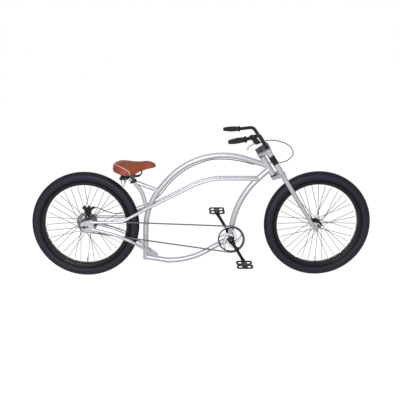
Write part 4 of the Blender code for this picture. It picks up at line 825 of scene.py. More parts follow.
def buildRim(name, body, place):
    half, edge, inner, wall = wheel["rimHalf"], wheel["rimEdge"], wheel["rimInner"], wheel["rimWall"]
    lip = [(edge - 0.0020 + 0.0020 * cos(angle), -half + 0.0012 - 0.0022 * sin(angle))
        for angle in (radians(20 * index) for index in range(10))]
    left = [(edge - 0.0075, -(half - wall)), (edge - 0.001, -(half - wall)),
        (edge, -(half - wall) - 0.0008)] + lip
    left += [(edge - 0.0055, -half + 0.0020), (inner + 0.0075, -half + 0.0016),
        (inner + 0.0035, -0.86 * half), (inner + 0.0008, -0.66 * half), (inner, -0.5 * half)]
    profile = left + [(radius, -z) for radius, z in reversed(left)]
    mesh = turnedMesh(profile, wheel["segments"], True)
    addPiece(f"{name}Rim", mesh, "blackPaint", body, place, (f"{name}_rim",), sharpAngle=50)
    length = wheel["valveLength"]
    stem = turnedMesh([(0, length), (0.0026, length), (0.0034, length - 0.0012), (0.0034, length - 0.012),
        (0.0028, length - 0.0125), (0.0028, 0.004), (0.0045, 0.003), (0.0050, -0.004), (0, -0.004)], 20)
    addPiece(f"{name}Valve", stem, "satinBlack", body, place @ between((0, inner, 0), (0, 0, 0)))


def spokeEnds(index, hub):
    perFlange = wheel["spokes"] // 2
    flange, number = divmod(index, perFlange)
    side, lean = (1 if flange else -1), (1 if number % 2 else -1)
    hubAngle = 2 * pi * (number + flange / 2) / perFlange
    rimAngle = hubAngle + lean * 2 * pi * wheel["crossings"] / perFlange
    hole = hub["flangeRadius"] - 0.004
    hubEnd = Vector((*polar(hole, hubAngle), side * (hub["flangeOut"] + lean * 0.0026)))
    rimEnd = Vector((*polar(wheel["rimInner"], rimAngle), side * 0.004))
    headEnd = hubEnd - Vector((0, 0, side * lean * 0.0052))
    return hubEnd, rimEnd, headEnd


def buildSpokes(name, body, place, hub):
    radius = wheel["spokeRadius"]
    bars, nipples = [], []
    for index in range(wheel["spokes"]):
        hubEnd, rimEnd, headEnd = spokeEnds(index, hub)
        ahead = (rimEnd - hubEnd).normalized()
        path = [headEnd, headEnd.lerp(hubEnd, 0.75), hubEnd + ahead * 0.0012, hubEnd + ahead * 0.004, rimEnd]
        bars.append(tubeMesh(path, radius, 8))
        bars.append((discMesh(radius * 1.9, -0.0006, 0.0006, 10, 0.0003), between(headEnd, hubEnd)))
        nipple = turnedMesh(wheel["nipple"], 10)
        nipples.append((nipple, between(rimEnd + ahead * 0.0015, hubEnd)))
    addPiece(f"{name}Spokes", joinedMesh(bars), "spokeSteel", body, place, (f"{name}_hub",))
    addPiece(f"{name}Nipples", joinedMesh(nipples), "brightSteel", body, place)


def buildHub(name, body, place, hub):
    out, half, barrel, reach = hub["flangeOut"], hub["half"], hub["barrel"], hub["flangeRadius"]
    low = -out - 0.0015
    shell = [(0.0054, -half), (0.0100, -half), (0.0110, -half + 0.001), (0.0110, low - 0.006),
        (barrel + 0.002, low - 0.001), (barrel + 0.002, low + 0.003), (barrel, low + 0.008),
        (barrel - 0.002, low + 0.016)]
    parts = [turnedMesh(bothEnds(shell), 48, True)]
    perFlange = wheel["spokes"] // 2
    for side in (-1, 1):
        turn = pi / perFlange if side > 0 else 0
        holes = circleRow(perFlange, reach - 0.004, 0.0015, 10, turn)
        if reach > 0.03:
            holes += circleRow(8, 0.0225, 0.0036, 16)
        edges = [circlePoints((0, 0), reach, 64), circlePoints((0, 0), barrel, 48)] + holes
        parts.append(plateMesh(edges, side * out - 0.0015, side * out + 0.0015))
    finish = "brightSteel" if name == "rear" else "satinBlack"
    addPiece(f"{name}HubShell", joinedMesh(parts), finish, body, place, rounding=0.0004)


def buildAxle(name, body, place, innerFace, plateThick, node):
    outer = innerFace + plateThick + 0.0003
    tip = outer + 0.012
    parts = [discMesh(0.0050, -tip, tip, 24, 0.0008)]
    for side in (-1, 1):
        flip = Matrix.Scale(side, 4, (0, 0, 1))
        parts.append((hexMesh(0.0162, outer + 0.0015, outer + 0.0080), flip))
        parts.append((discMesh(0.0094, outer, outer + 0.0015, 32, 0.0003), flip))
        parts.append((hexMesh(0.0145, innerFace - 0.0062, innerFace - 0.0003), flip))
    addPiece(name, joinedMesh(parts), "darkAlloy", body, place, (node,), rounding=0.0005)


rotor = {"radius": 0.070, "thick": 0.0018, "out": 0.050, "ringIn": 0.0460, "arms": 6, "wave": 0.0016,
    "rows": ((0.0660, 0.0), (0.0618, 0.35), (0.0576, 0.70), (0.0534, 0.05), (0.0492, 0.40)), "hole": 0.00165,
    "perRow": 36, "lone": 0.0618, "boltRing": 0.0195, "carrier": ((0.0110, 0.0350), (0.024, 0.0350),
    (0.024, 0.0489), (0.0137, 0.0489), (0.0137, 0.0535), (0.0110, 0.0535))}


def buildRotor(place):
    outer = [polar(rotor["radius"] - rotor["wave"] * (0.5 - 0.5 * cos(12 * angle)), angle)
        for angle in (2 * pi * index / 144 for index in range(144))]
    holes = [circlePoints((0, 0), 0.0146, 32)]
    for number in range(rotor["perRow"]):
        for reach, shift in rotor["rows"]:
            angle = 2 * pi * (number + shift) / rotor["perRow"]
            if number % 6 != 5 or reach == rotor["lone"]:
                holes.append(circlePoints(polar(reach, angle), rotor["hole"], 8))
    for number in range(rotor["arms"]):
        start = 2 * pi * number / rotor["arms"]
        window = [(rotor["ringIn"], start + 0.16 + (2 * pi / 6 - 0.32) * index / 8 + 0.30)
            for index in range(9)]
        window += [(0.0290, start + 2 * pi / 6 - 0.26 - (2 * pi / 6 - 0.52) * index / 5)
            for index in range(6)]
        holes.append([polar(reach, angle) for reach, angle in window])
    low, high = rotor["out"] - rotor["thick"] / 2, rotor["out"] + rotor["thick"] / 2
    mesh = plateMesh([outer] + holes, low, high)
    addPiece("brakeRotor", mesh, "rotorSteel", "rear_wheel", place, ("brake_rotor",))
    bolts = [bolt(0.0032, 0.0022, (*polar(rotor["boltRing"], 2 * pi * (number + 0.5) / 6), high))
        for number in range(6)]
    carrier = turnedMesh(rotor["carrier"], 48, True)
    addPiece("rotorCarrier", joinedMesh(bolts + [carrier]), "satinBlack", "rear_wheel", place,
        rounding=0.0003)


for wheelName, wheelPlace in (("rear", rearSpace), ("front", frontSpace)):
    bodyName = f"{wheelName}_wheel"
    buildTyre(wheelName, bodyName, wheelPlace)
    buildRim(wheelName, bodyName, wheelPlace)
    buildSpokes(wheelName, bodyName, wheelPlace, hubs[wheelName])
    buildHub(wheelName, bodyName, wheelPlace, hubs[wheelName])
buildRotor(rearSpace)
buildAxle("rearAxleSet", "frame", rearSpace, 0.0675, 0.006, "rear_axle")
buildAxle("frontAxleSet", "steering", frontSpace, 0.050, 0.006, "front_axle")
print("wheels built")


# Drivetrain

# the black ring plate left bare inside the teeth, out to bandOut, and along the inset blade edges is also
# painted shade for the recess and the blade bevels
drive = {"pitch": 0.0127, "line": 0.048, "ringTeeth": 44, "cogTeeth": 18, "thick": 0.0029, "tooth": 0.0030,
    "roller": 0.0040, "rimDeep": 0.0085, "arms": 5, "windowIn": 0.038, "bossRadius": 0.0215,
    "windowFirst": (142, 30, 0.8), "windowSecond": (146, 92, 0.6), "groove": (144, 46), "bandOut": 0.0845,
    "bladeShadeEdge": 0.0054, "bladeHigh": 0.0004}


def pitchRadius(teeth):
    return drive["pitch"] / (2 * sin(pi / teeth))


def toothedOutline(teeth, phase=0.0):
    radius = pitchRadius(teeth)
    root, tip = radius - drive["roller"], radius + drive["tooth"]
    points = []
    for tooth in range(teeth):
        for share, reach in ((0.0, root), (0.10, root + 0.0003), (0.20, root + 0.0012), (0.34, tip - 0.0016),
                (0.44, tip - 0.0002), (0.56, tip - 0.0002), (0.66, tip - 0.0016), (0.80, root + 0.0012),
                (0.90, root + 0.0003)):
            angle = phase + 2 * pi * (tooth + share) / teeth
            points.append(polar(reach, angle))
    return points


def windowReach():
    return pitchRadius(drive["ringTeeth"]) - drive["roller"] - drive["rimDeep"]


def windowEdge(look, number, inset=0.0, steps=14):
    low, high = drive["windowIn"], windowReach()
    start, swing, power = look
    points = []
    for t in (index / steps for index in range(steps + 1)):
        reach = low + (high - low) * t
        margin = inset * (1 - 0.35 * t) / reach
        points.append((reach, radians(start + swing * t ** power + 360 * number / drive["arms"]) + margin))
    return points


def polarOutline(points):
    return [polar(reach, -angle) for reach, angle in points]


def ringWindow(number):
    first, second = windowEdge(drive["windowFirst"], number), windowEdge(drive["windowSecond"], number)
    turn = second[-1][1] - first[-1][1]
    rim = [(windowReach(), first[-1][1] + turn * index / 10) for index in range(1, 10)]
    return polarOutline(first + rim + list(reversed(second)))


def grooveEdge(number, inset):
    low, high = drive["bossRadius"], drive["windowIn"] - 0.0008
    start, swing = drive["groove"]
    points = []
    for t in (index / 6 for index in range(7)):
        reach = low + (high - low) * t
        points.append((reach, radians(start - swing * (1 - t) + 360 * number / drive["arms"])
            + inset / reach))
    return points


# each blade is inset from the window and groove edges, so a strip of black plate shows around it as painted
# shade for the shadow on the blade bevels
def ringBlade(number):
    inset = drive["bladeShadeEdge"]
    behind = grooveEdge(number, inset) + windowEdge(drive["windowSecond"], number, inset)[1:]
    ahead = grooveEdge(number + 1, -inset) + windowEdge(drive["windowFirst"], number + 1, -inset)[1:]
    return polarOutline(behind + list(reversed(ahead)))


def chainPath():
    cog, ring = Vector((rearAxle.x, rearAxle.z)), Vector((crankAxle.x, crankAxle.z))
    cogRadius, ringRadius = pitchRadius(drive["cogTeeth"]), pitchRadius(drive["ringTeeth"])
    span = ring - cog
    slope = atan2(span.y, span.x)
    straight = sqrt(span.length_squared - (ringRadius - cogRadius) ** 2)
    lean = atan2(ringRadius - cogRadius, straight)
    top, bottom = slope + pi / 2 + lean, slope - pi / 2 - lean
    ringArc, cogArc = (pi + 2 * lean) * ringRadius, (pi - 2 * lean) * cogRadius
    total = 2 * straight + ringArc + cogArc
    links = 2 * round(total / (2 * drive["pitch"]))

    def at(s):
        s %= total
        if s < straight:
            along = Vector((sin(top), -cos(top)))
            return cog + Vector((cos(top), sin(top))) * cogRadius + along * s
        if s < straight + ringArc:
            angle = top - (s - straight) / ringRadius
            return ring + Vector((cos(angle), sin(angle))) * ringRadius
        if s < 2 * straight + ringArc:
            along = Vector((sin(bottom), -cos(bottom)))
            return ring + Vector((cos(bottom), sin(bottom))) * ringRadius + along * (s - straight - ringArc)
        angle = bottom - (s - 2 * straight - ringArc) / cogRadius
        return cog + Vector((cos(angle), sin(angle))) * cogRadius

    pins = [at(total * index / links) for index in range(links)]
    firstOnRing = ceil(straight / (total / links))
    return pins, pins[firstOnRing] - ring, pins[0] - cog


def linkOutline(length, end, waist):
    half = length / 2
    lean = radians(30)  # how far the eyes wrap past a half turn
    right = arcPoints((half, 0), end, -pi / 2 - lean, pi / 2 + lean, 9)
    left = arcPoints((-half, 0), end, pi / 2 - lean, 3 * pi / 2 + lean, 9)
    return right + [(0, waist)] + left + [(0, -waist)]


def buildChain(pins):
    outer = linkOutline(drive["pitch"], 0.0042, 0.0031)
    parts = []
    for index, (pin, following) in enumerate(zip(pins, pins[1:] + pins[:1])):
        run = following - pin
        middle = (pin + following) / 2
        turn = moved((middle.x, -drive["line"], middle.y)) @ turned(-atan2(run.y, run.x), "Y") @ uprightTurn
        inside, outside = (0.0021, 0.0031) if index % 2 else (0.0032, 0.0042)
        parts.append((plateMesh([outer], inside, outside), turn))
        parts.append((plateMesh([outer], -outside, -inside), turn))
        atPin = moved((pin.x, -drive["line"], pin.y)) @ acrossTurn
        parts.append((discMesh(0.0038, -0.0020, 0.0020, 12), atPin))
        parts.append((discMesh(0.0018, -0.0044, 0.0044, 8, 0.0003), atPin))
    addPiece("driveChain", joinedMesh(parts), "chainSteel", "frame", stands=("chain",))


def buildRingAndCog(ringPhase, cogPhase):
    face, thick, bandOut = drive["line"] - drive["thick"] / 2, drive["thick"], drive["bandOut"]
    # the ring plate is black; the annulus of it left bare inside the teeth and the strips around the silver
    # blades also serve as painted shade for the recess inside the teeth and the blade bevels
    outlines = [circlePoints((0, 0), bandOut, 120), circlePoints((0, 0), 0.0088, 32)]
    outlines += [ringWindow(number) for number in range(drive["arms"])]
    addPiece("chainring", plateMesh(outlines, -face - thick, -face), "satinBlack", "crank", crankSpace,
        ("chainring",), 0.0005)
    teeth = [toothedOutline(drive["ringTeeth"], ringPhase), circlePoints((0, 0), bandOut + 0.0001, 120)]
    addPiece("chainringTeeth", plateMesh(teeth, -face - thick, -face), "brightSteel", "crank", crankSpace,
        rounding=0.0005)
    blades = []
    for number in range(drive["arms"]):
        for low in (-face - thick - drive["bladeHigh"], -face - 0.0002):
            blades.append(plateMesh([ringBlade(number)], low, low + drive["bladeHigh"] + 0.0002))
    addPiece("chainringBlades", joinedMesh(blades), "brightSteel", "crank", crankSpace, rounding=0.0002)
    low = -drive["line"] - drive["thick"] / 2
    cogOutline = [toothedOutline(drive["cogTeeth"], cogPhase), circlePoints((0, 0), 0.0154, 32)]
    drum = turnedMesh([(0.0154, -0.0560), (0.0225, -0.0560), (0.0235, -0.0552), (0.0262, -0.0548),
        (0.0270, -0.0540), (0.0270, -0.0420), (0.0154, -0.0420)], 48, True)
    parts = [plateMesh(cogOutline, low, low + drive["thick"]), drum]
    addPiece("rearCog", joinedMesh(parts), "darkAlloy", "cog", rearSpace, ("rear_cog",), 0.0003)


crank = {"length": 0.170, "angle": radians(30.3), "inside": 0.058, "thick": 0.0125, "pedalOut": 0.130}


def crankArmParts():
    sections = ((0.0, 0.0172, 0.0125), (0.018, 0.0158, 0.0125), (0.045, 0.0110, 0.0110),
        (0.100, 0.0100, 0.0105), (0.145, 0.0104, 0.0110), (0.160, 0.0122, 0.0118),
        (crank["length"], 0.0125, 0.0118))
    rings = []
    bottom = crank["inside"]
    for along, half, thick in sections:
        ring = [(-half, bottom + 0.002), (-half + 0.002, bottom), (half - 0.002, bottom),
            (half, bottom + 0.002), (half, bottom + thick - 0.003), (half - 0.003, bottom + thick),
            (0.0, bottom + thick - (0.0012 if 0.03 < along < 0.15 else 0.0)), (-half + 0.003, bottom + thick),
            (-half, bottom + thick - 0.003)]
        rings.append([(along, across, z) for across, z in ring])
    top = bottom + crank["thick"]
    eye = [(0, bottom), (0.0165, bottom), (0.0175, bottom + 0.001), (0.0175, top - 0.0015), (0.0160, top),
        (0.0085, top), (0.0080, top - 0.0012), (0, top - 0.0012)]
    tip = [(0, bottom), (0.0118, bottom), (0.0125, bottom + 0.0007), (0.0125, bottom + 0.0110),
        (0.0116, bottom + 0.0120), (0, bottom + 0.0120)]
    return [loftedMesh(rings), turnedMesh(eye, 40), (turnedMesh(tip, 32), moved((crank["length"], 0, 0)))]


def crankTurn(side):
    swing = crank["angle"] + (pi if side > 0 else 0)
    return (moved(crankAxle) @ turned(swing, "Y").inverted() @ turned(pi / 2, "Y")
        @ turned(side * -pi / 2, "X"))


def buildCranks():
    inside, outside = crank["inside"], crank["inside"] + crank["thick"]
    for name, side in sides:
        atPin = moved((crank["length"], 0, 0))
        parts = crankArmParts() + [(discMesh(0.0065, inside + 0.004, crank["pedalOut"] + 0.030, 20, 0.0008),
            atPin), (hexMesh(0.0150, outside, outside + 0.005), atPin)]
        if side < 0:
            face = drive["line"] + drive["thick"] / 2
            boss = [(0.0088, face), (0.0225, face), (0.0225, face + 0.0030), (0.0195, face + 0.0050),
                (0.0175, inside + 0.002), (0.0088, inside + 0.002)]
            parts.append(turnedMesh(boss, 40, True))
        addPiece(f"crankArm{name}", joinedMesh(parts), "blackPaint", "crank", crankTurn(side),
            (f"crank_arm_{name.lower()}",), 0.0006)
    cap = discMesh(0.0078, outside - 0.0012, outside + 0.0006, 28, 0.0005)
    caps = joinedMesh([cap.copy(), (cap, turned(pi, "X"))])
    addPiece("crankBolts", caps, "darkAlloy", "crank", crankSpace)
    spindle = discMesh(0.0085, -0.0577, 0.0577, 32, 0.0006)
    addPiece("crankSpindle", spindle, "darkAlloy", "crank", crankSpace, ("crank_spindle",))


pedal = {"length": 0.106, "width": 0.088, "high": 0.026, "plate": 0.013, "barrel": 0.011, "endBar": 0.0440,
    "windowLong": 0.024, "windowHigh": 0.0122, "windowAt": 0.0285, "block": (0.0145, 0.0090)}


def buildPedal(name):
    half, thick = pedal["width"] / 2, pedal["plate"]
    edge = roundedSlot((0, 0), pedal["length"], pedal["high"], 12)
    windows = [roundedSlot((where * pedal["windowAt"], 0), pedal["windowLong"], pedal["windowHigh"])
        for where in (-1, 1)]
    parts = [plateMesh([edge] + windows, low, low + thick) for low in (-half, half - thick)]
    parts.append(discMesh(pedal["barrel"], -half + 0.002, half - 0.002, 36, 0.001))
    for end in (-1, 1):
        centre = end * (pedal["endBar"] - 0.0100)
        outline = [(centre + end * x, y) for x, y in arcPoints((0, 0), 0.0128, -0.85, 0.85, 8)
            + arcPoints((0, 0), 0.0078, 0.85, -0.85, 8)]
        parts.append(plateMesh([outline], -half + thick / 2, half - thick / 2))
    long, high = pedal["block"]
    block = roundedOutline([(-long, -high), (long, -high), (long, high), (-long, high)], 0.3)
    parts.append(plateMesh([block], -half + thick / 2, half - thick / 2))
    for index in range(5):
        across = (index - 2) * 0.016
        for where in (-pedal["endBar"], 0.0, pedal["endBar"]):
            top = 0.0117 if where else high + 0.0010
            for sign in (-1, 1):
                stud = discMesh(0.0020, 0.0, 0.0030, 10, 0.0004)
                parts.append((stud, moved((where, sign * (top - 0.0020), across))
                    @ turned(-sign * pi / 2, "X")))
    place = moved(jointPlace(f"pedal_{name.lower()}_spin")) @ acrossTurn
    addPiece(f"pedal{name}", joinedMesh(parts), "pedalPlastic", f"pedal_{name.lower()}", place,
        (f"pedal_{name.lower()}",), 0.0008)


chainPins, ringStart, cogStart = chainPath()
buildChain(chainPins)
buildRingAndCog(-atan2(ringStart.y, ringStart.x), -atan2(cogStart.y, cogStart.x))
buildCranks()
for sideName, _ in sides:
    buildPedal(sideName)
print("drivetrain built")


# Brake caliper

caliper = {
    "out": 0.050, "base": 0.070, "outer": (-0.0135, -0.0018), "inner": (0.0018, 0.0120), "stopUp": 0.026,
    "body": ((-0.0313, 0.0285), (-0.0192, 0.0410), (-0.0077, 0.0400), (-0.0035, 0.0295), (0.0052, 0.0300),
        (0.0115, 0.0420), (0.0225, 0.0390), (0.0245, 0.0275), (0.0362, 0.0350), (0.0520, 0.0341),
        (0.0510, 0.0225), (0.0390, 0.0200), (0.0306, 0.0032), (0.0205, -0.0240), (-0.0084, -0.0240),
        (-0.0125, 0.0034), (-0.0185, 0.0176)),
    "holes": ((-0.0145, 0.0310, 0.0034), (-0.0030, 0.0165, 0.0038), (0.0170, 0.0160, 0.0040)),
    "bolts": ((-0.002, -0.015), (0.013, -0.016), (0.008, 0.004)),
    "bridge": ((0.006, 0.022), (0.023, 0.022), (0.021, 0.034), (0.010, 0.032)),
    "arm": ((0.002, -0.004), (0.014, -0.006), (0.0110, 0.018), (0.0170, 0.036), (0.0100, 0.036),
        (0.0030, 0.018)),
    "stop": ((0.0027, 0.0), (0.0042, 0.0), (0.0042, 0.010), (0.0052, 0.011), (0.0052, 0.020), (0.0036, 0.022),
        (0.0027, 0.022)),
}


def buildCaliper():
    out, above = caliper["out"], caliper["base"]
    body, bridge, arm = (roundedOutline([(x, above + up) for x, up in caliper[part]], share)
        for part, share in (("body", 0.22), ("bridge", 0.3), ("arm", 0.3)))
    parts = []
    for near, far in (caliper["outer"], caliper["inner"]):
        holes = [circlePoints((x, above + up), radius, 16) for x, up, radius in caliper["holes"]]
        parts.append(plateMesh([body] + holes, -out + near, -out + far))
    parts.append(plateMesh([bridge], -out - 0.006, -out + 0.006))
    parts.append(plateMesh([arm], -out - 0.0168, -out - 0.0136))
    drum = discMesh(0.0125, -0.0165, -0.0135, 32, 0.0008)
    parts.append((drum, moved((0.012, above - 0.008, -out))))
    for x, up in caliper["bolts"]:
        parts.append(bolt(0.0042, 0.0035, (x, above + up, -out - 0.0165), pi))
    parts.append(blockMesh((0.004, 0.022, -0.0672), (0.034, above - 0.016, -out - 0.010)))
    place = moved(rearAxle) @ uprightTurn
    addPiece("brakeCaliper", joinedMesh(parts), "satinBlack", "frame", place, ("brake_caliper",), 0.0008)
    stop = turnedMesh(caliper["stop"], 24, True)
    cableUp = above + caliper["stopUp"]
    addPiece("cableStop", stop, "satinBlack", "frame", between(rearAxle + Vector((0.034, 0.0595, cableUp)),
        rearAxle + Vector((0.060, 0.0595, cableUp))))


buildCaliper()
print("brake built")


# Saddle, from the rider's seat point; rows are (ahead, half width, top, skirt)

saddle = {
    "rows": ((-0.1075, 0.040, -0.027, -0.047), (-0.1055, 0.056, -0.021, -0.051),
        (-0.0930, 0.080, -0.011, -0.058), (-0.0600, 0.101, 0.000, -0.0695), (-0.0150, 0.105, -0.002, -0.079),
        (0.0250, 0.088, -0.006, -0.076), (0.0650, 0.060, -0.006, -0.061), (0.1050, 0.040, -0.002, -0.050),
        (0.1400, 0.031, -0.008, -0.043), (0.1560, 0.023, -0.018, -0.040), (0.1635, 0.012, -0.029, -0.038)),
    "roundness": 2.45, "piping": 0.0021,
    "pipingSide": ((0.0055, -0.0760), (0.0045, -0.0670), (0.0010, -0.0573), (-0.0060, -0.0488),
        (-0.0180, -0.0410), (-0.0330, -0.0330), (-0.0500, -0.0264), (-0.0710, -0.0183), (-0.0880, -0.0145)),
    "pipingBack": -0.0940,
}


def saddleRow(x):
    rows = saddle["rows"]
    x = min(max(x, rows[0][0]), rows[-1][0])
    for index in range(len(rows) - 1):
        if rows[index][0] <= x <= rows[index + 1][0]:
            break
    before, low, high, after = (rows[max(0, min(len(rows) - 1, index + step))] for step in (-1, 0, 1, 2))
    t = (x - low[0]) / (high[0] - low[0])
    values = []
    for column in (1, 2, 3):
        width = high[0] - low[0]
        slopeLow = (high[column] - before[column]) / (high[0] - before[0]) if high[0] > before[0] else 0
        slopeHigh = (after[column] - low[column]) / (after[0] - low[0]) if after[0] > low[0] else 0
        values.append((2 * t ** 3 - 3 * t ** 2 + 1) * low[column]
            + (t ** 3 - 2 * t ** 2 + t) * width * slopeLow + (3 * t ** 2 - 2 * t ** 3) * high[column]
            + (t ** 3 - t ** 2) * width * slopeHigh)
    return values


def saddlePoint(x, angle):
    half, top, skirt = saddleRow(x)
    power = 2 / saddle["roundness"]
    across, up = cos(angle), max(0.0, sin(angle))
    y = half * (abs(across) ** power) * (1 if across > 0 else -1)
    ripple = 0.0
    if x > 0.108 and up < 0.35:
        ripple = 0.0016 * sin((x - 0.108) * 2 * pi / 0.0085) * (1 - up / 0.35)
    return Vector((x, y * (1 + 16 * ripple), skirt + (top - skirt) * up ** power + ripple))


def saddleSide(x, z, side):
    half, top, skirt = saddleRow(x)
    up = min(1.0, max(0.0, (z - skirt) / (top - skirt)))
    power = saddle["roundness"]
    return Vector((x, side * half * (1 - up ** power) ** (1 / power), skirt + (top - skirt) * up))


def pipingPath():
    right = [saddleSide(x, z, -1) for x, z in saddle["pipingSide"]]
    back = saddle["pipingBack"]
    right.append(saddlePoint(back, radians(103)))
    mirrored = [Vector((point.x, -point.y, point.z)) for point in reversed(right)]
    return smoothPath(right + [saddlePoint(back - 0.0005, pi / 2)] + mirrored, 8)


def isRearPanel(point):
    rows = [(z, x) for x, z in saddle["pipingSide"]] + [(-0.0125, -0.0935), (0.01, -0.0945)]
    rows.sort()
    if point.z <= rows[0][0]:
        return point.x < rows[0][1]
    for (lowZ, lowX), (highZ, highX) in zip(rows, rows[1:]):
        if lowZ <= point.z <= highZ:
            return point.x < lowX + (highX - lowX) * (point.z - lowZ) / (highZ - lowZ)
    return point.x < rows[-1][1]


def buildSaddle():
    work = bmesh.new()
    first, last = saddle["rows"][0][0], saddle["rows"][-1][0]
    lengthSteps, aroundSteps = 90, 56
    rings = []
    for index in range(lengthSteps + 1):
        t = index / lengthSteps
        x = first + (last - first) * (t - 0.10 * sin(2 * pi * t) / pi)
        rings.append([work.verts.new(saddlePoint(x, pi * step / aroundSteps))
            for step in range(aroundSteps + 1)])
    for ring, following in zip(rings, rings[1:]):
        for step in range(aroundSteps):
            face = work.faces.new((ring[step], ring[step + 1], following[step + 1], following[step]))
            face.material_index = 1 if isRearPanel(face.calc_center_median()) else 0
    for ring in (rings[0], rings[-1]):
        face = work.faces.new(ring)
        face.material_index = 1 if ring is rings[0] else 0
    hem = []
    for ring in rings:
        left, right = ring[0], ring[-1]
        hem.append([work.verts.new(left.co + Vector((0, -0.004, 0.002))),
            work.verts.new(right.co + Vector((0, 0.004, 0.002)))])
    for (ring, hemPair), (following, hemNext) in zip(zip(rings, hem), zip(rings[1:], hem[1:])):
        work.faces.new((ring[0], following[0], hemNext[0], hemPair[0]))
        work.faces.new((ring[-1], hemPair[1], hemNext[1], following[-1]))
        work.faces.new((hemPair[0], hemNext[0], hemNext[1], hemPair[1]))
    work.faces.new((rings[0][0], hem[0][0], hem[0][1], rings[0][-1]))
    work.faces.new((rings[-1][-1], hem[-1][1], hem[-1][0], rings[-1][0]))
    cover = addPiece("saddleCover", finishedMesh(work), "saddleLeather", "frame", stands=("saddle",),
        sharpAngle=65, extra=("rearPanelLeather",))
    piping = tubeMesh(pipingPath(), saddle["piping"], 10)
    addPiece("saddlePiping", piping, "pipingCream", "frame")


seatFrame = {"railOut": 0.022, "railRadius": 0.0041, "railZ": -0.1015, "springOut": 0.052, "springX": -0.042,
    "springTop": -0.1123, "springLow": -0.155, "wire": 0.0026, "turns": 5.5, "coilTop": 0.0165,
    "coilLow": 0.0068, "steps": 150, "seat": ((0, -0.1120), (0.0200, -0.1120), (0.0205, -0.1100),
    (0.0190, -0.0940), (0.0120, -0.0900), (0, -0.0900)),
    "base": ((0, -0.1550), (0.0075, -0.1550), (0.0080, -0.1535), (0.0080, -0.1500), (0.0050, -0.1480),
    (0.0035, -0.1130), (0, -0.1130)), "cone": ((0, -0.1130), (0.0150, -0.1130), (0.0146, -0.1160),
    (0.0062, -0.1500), (0, -0.1500))}


def buildSeatFrame():
    out, z, radius = seatFrame["railOut"], seatFrame["railZ"], seatFrame["railRadius"]
    wires = []
    for side in (-1, 1):
        path = bentPath([(0.074, side * out * 0.55, -0.064), (0.072, side * out * 0.8, -0.0985),
            (0.030, side * out, z), (-0.045, side * out, z), (-0.062, side * out, -0.085),
            (-0.066, side * out, -0.072)], (0.80, 0.15, 0.2, 0.4), radians(8))
        wires.append(tubeMesh(path, radius, 14))
    addPiece("saddleRails", joinedMesh(wires), "satinBlack", "frame")
    back, front, wide = -0.068, -0.010, seatFrame["springOut"] + 0.012
    plate = roundedOutline([(back, -wide), (front, -wide), (front + 0.004, -0.020), (front + 0.004, 0.020),
        (front, wide), (back, wide), (back + 0.006, 0.0)], 0.25)
    parts = [plateMesh([plate], -0.112, -0.1075)]
    for side in (-1, 1):
        parts.append(blockMesh((back + 0.004, side * wide - 0.002, -0.1120),
            (front - 0.004, side * wide, -0.0930)))
        parts.append((turnedMesh(seatFrame["seat"], 32),
            moved((seatFrame["springX"], side * seatFrame["springOut"], 0))))
        parts.append(plateMesh([roundedSlot((-0.046, side * 0.036), 0.018, 0.012)], -0.1080, -0.0690))
    addPiece("saddleBracket", joinedMesh(parts), "satinBlack", "frame", stands=("saddle_bracket",),
        rounding=0.0008)
    for name, side in sides:
        steps = seatFrame["steps"]
        coil = []
        for index in range(steps + 1):
            t = index / steps
            reach = seatFrame["coilTop"] + (seatFrame["coilLow"] - seatFrame["coilTop"]) * t
            angle = 2 * pi * seatFrame["turns"] * t
            coil.append((*polar(reach, angle),
                seatFrame["springTop"] - 0.002 + (seatFrame["springLow"] + 0.005 - seatFrame["springTop"])
                * t))
        base = turnedMesh(seatFrame["base"], 24)
        cone = turnedMesh(seatFrame["cone"], 32)
        mesh = joinedMesh([tubeMesh(coil, seatFrame["wire"], 10), base, cone])
        addPiece(f"saddleSpring{name}", mesh, "brightSteel", "frame",
            moved((seatFrame["springX"], side * seatFrame["springOut"], 0)),
            (f"saddle_spring_{name.lower()}",))


def buildSeatClamp():
    low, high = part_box("saddle_clamp")
    middle = (low.z + high.z) / 2
    outline = roundedOutline([(low.x, low.z), (high.x, low.z), (high.x, high.z), (low.x, high.z)], 0.22)
    cheeks = [(plateMesh([outline], start, start + 0.011), uprightTurn)
        for start in (-high.y, high.y - 0.011)]
    core = blockMesh((low.x + 0.003, -high.y + 0.010, low.z + 0.003),
        (high.x - 0.003, high.y - 0.010, high.z - 0.003))
    rod = (discMesh(0.0042, -high.y, high.y, 20, 0.0006),
        moved(((low.x + high.x) / 2, 0, middle - 0.004)) @ acrossTurn)
    addPiece("saddleClamp", joinedMesh(cheeks + [core, rod]), "darkAlloy", "frame", stands=("saddle_clamp",),
        rounding=0.0008)
    top, below = framePoint(*tubes["mast"][0]), framePoint(*tubes["mast"][1])
    seat = tiltedSpace(top, (top - below).normalized())
    post = discMesh(0.0110, 0.0003, 0.0170, 32, 0.0005)
    addPiece("seatPost", post, "satinBlack", "frame", seat, ("seat_post",))
    outer = tubes["mastRadius"] + 0.0045
    ring = ringMesh(0.0131, outer, -0.0165, -0.0003, 0.0008, 40)
    ears = [blockMesh((-outer - 0.0108, side * 0.0038 - 0.0028, -0.0145),
        (-outer + 0.002, side * 0.0038 + 0.0028, -0.0030)) for side in (-1, 1)]
    pin = (discMesh(0.0028, -0.0150, 0.0120, 16, 0.0004), moved((-outer - 0.0060, 0, -0.0085)) @ acrossTurn)
    lever = tubeMesh(smoothPath([(0.0040, -0.0195, -0.0165), (-0.0100, -0.0200, -0.0010),
        (-0.0236, -0.0200, 0.0170)], 6), 0.0036, 12, [0.75 + 0.35 * index / 12 for index in range(13)])
    addPiece("seatCollar", joinedMesh([ring] + ears + [pin, lever]), "satinBlack", "frame", seat,
        ("seat_collar",), 0.0005)


buildSaddle()
buildSeatFrame()
buildSeatClamp()
print("saddle built")


# Fork, crowns, stem and bars, in the steering space (ahead, out, up)

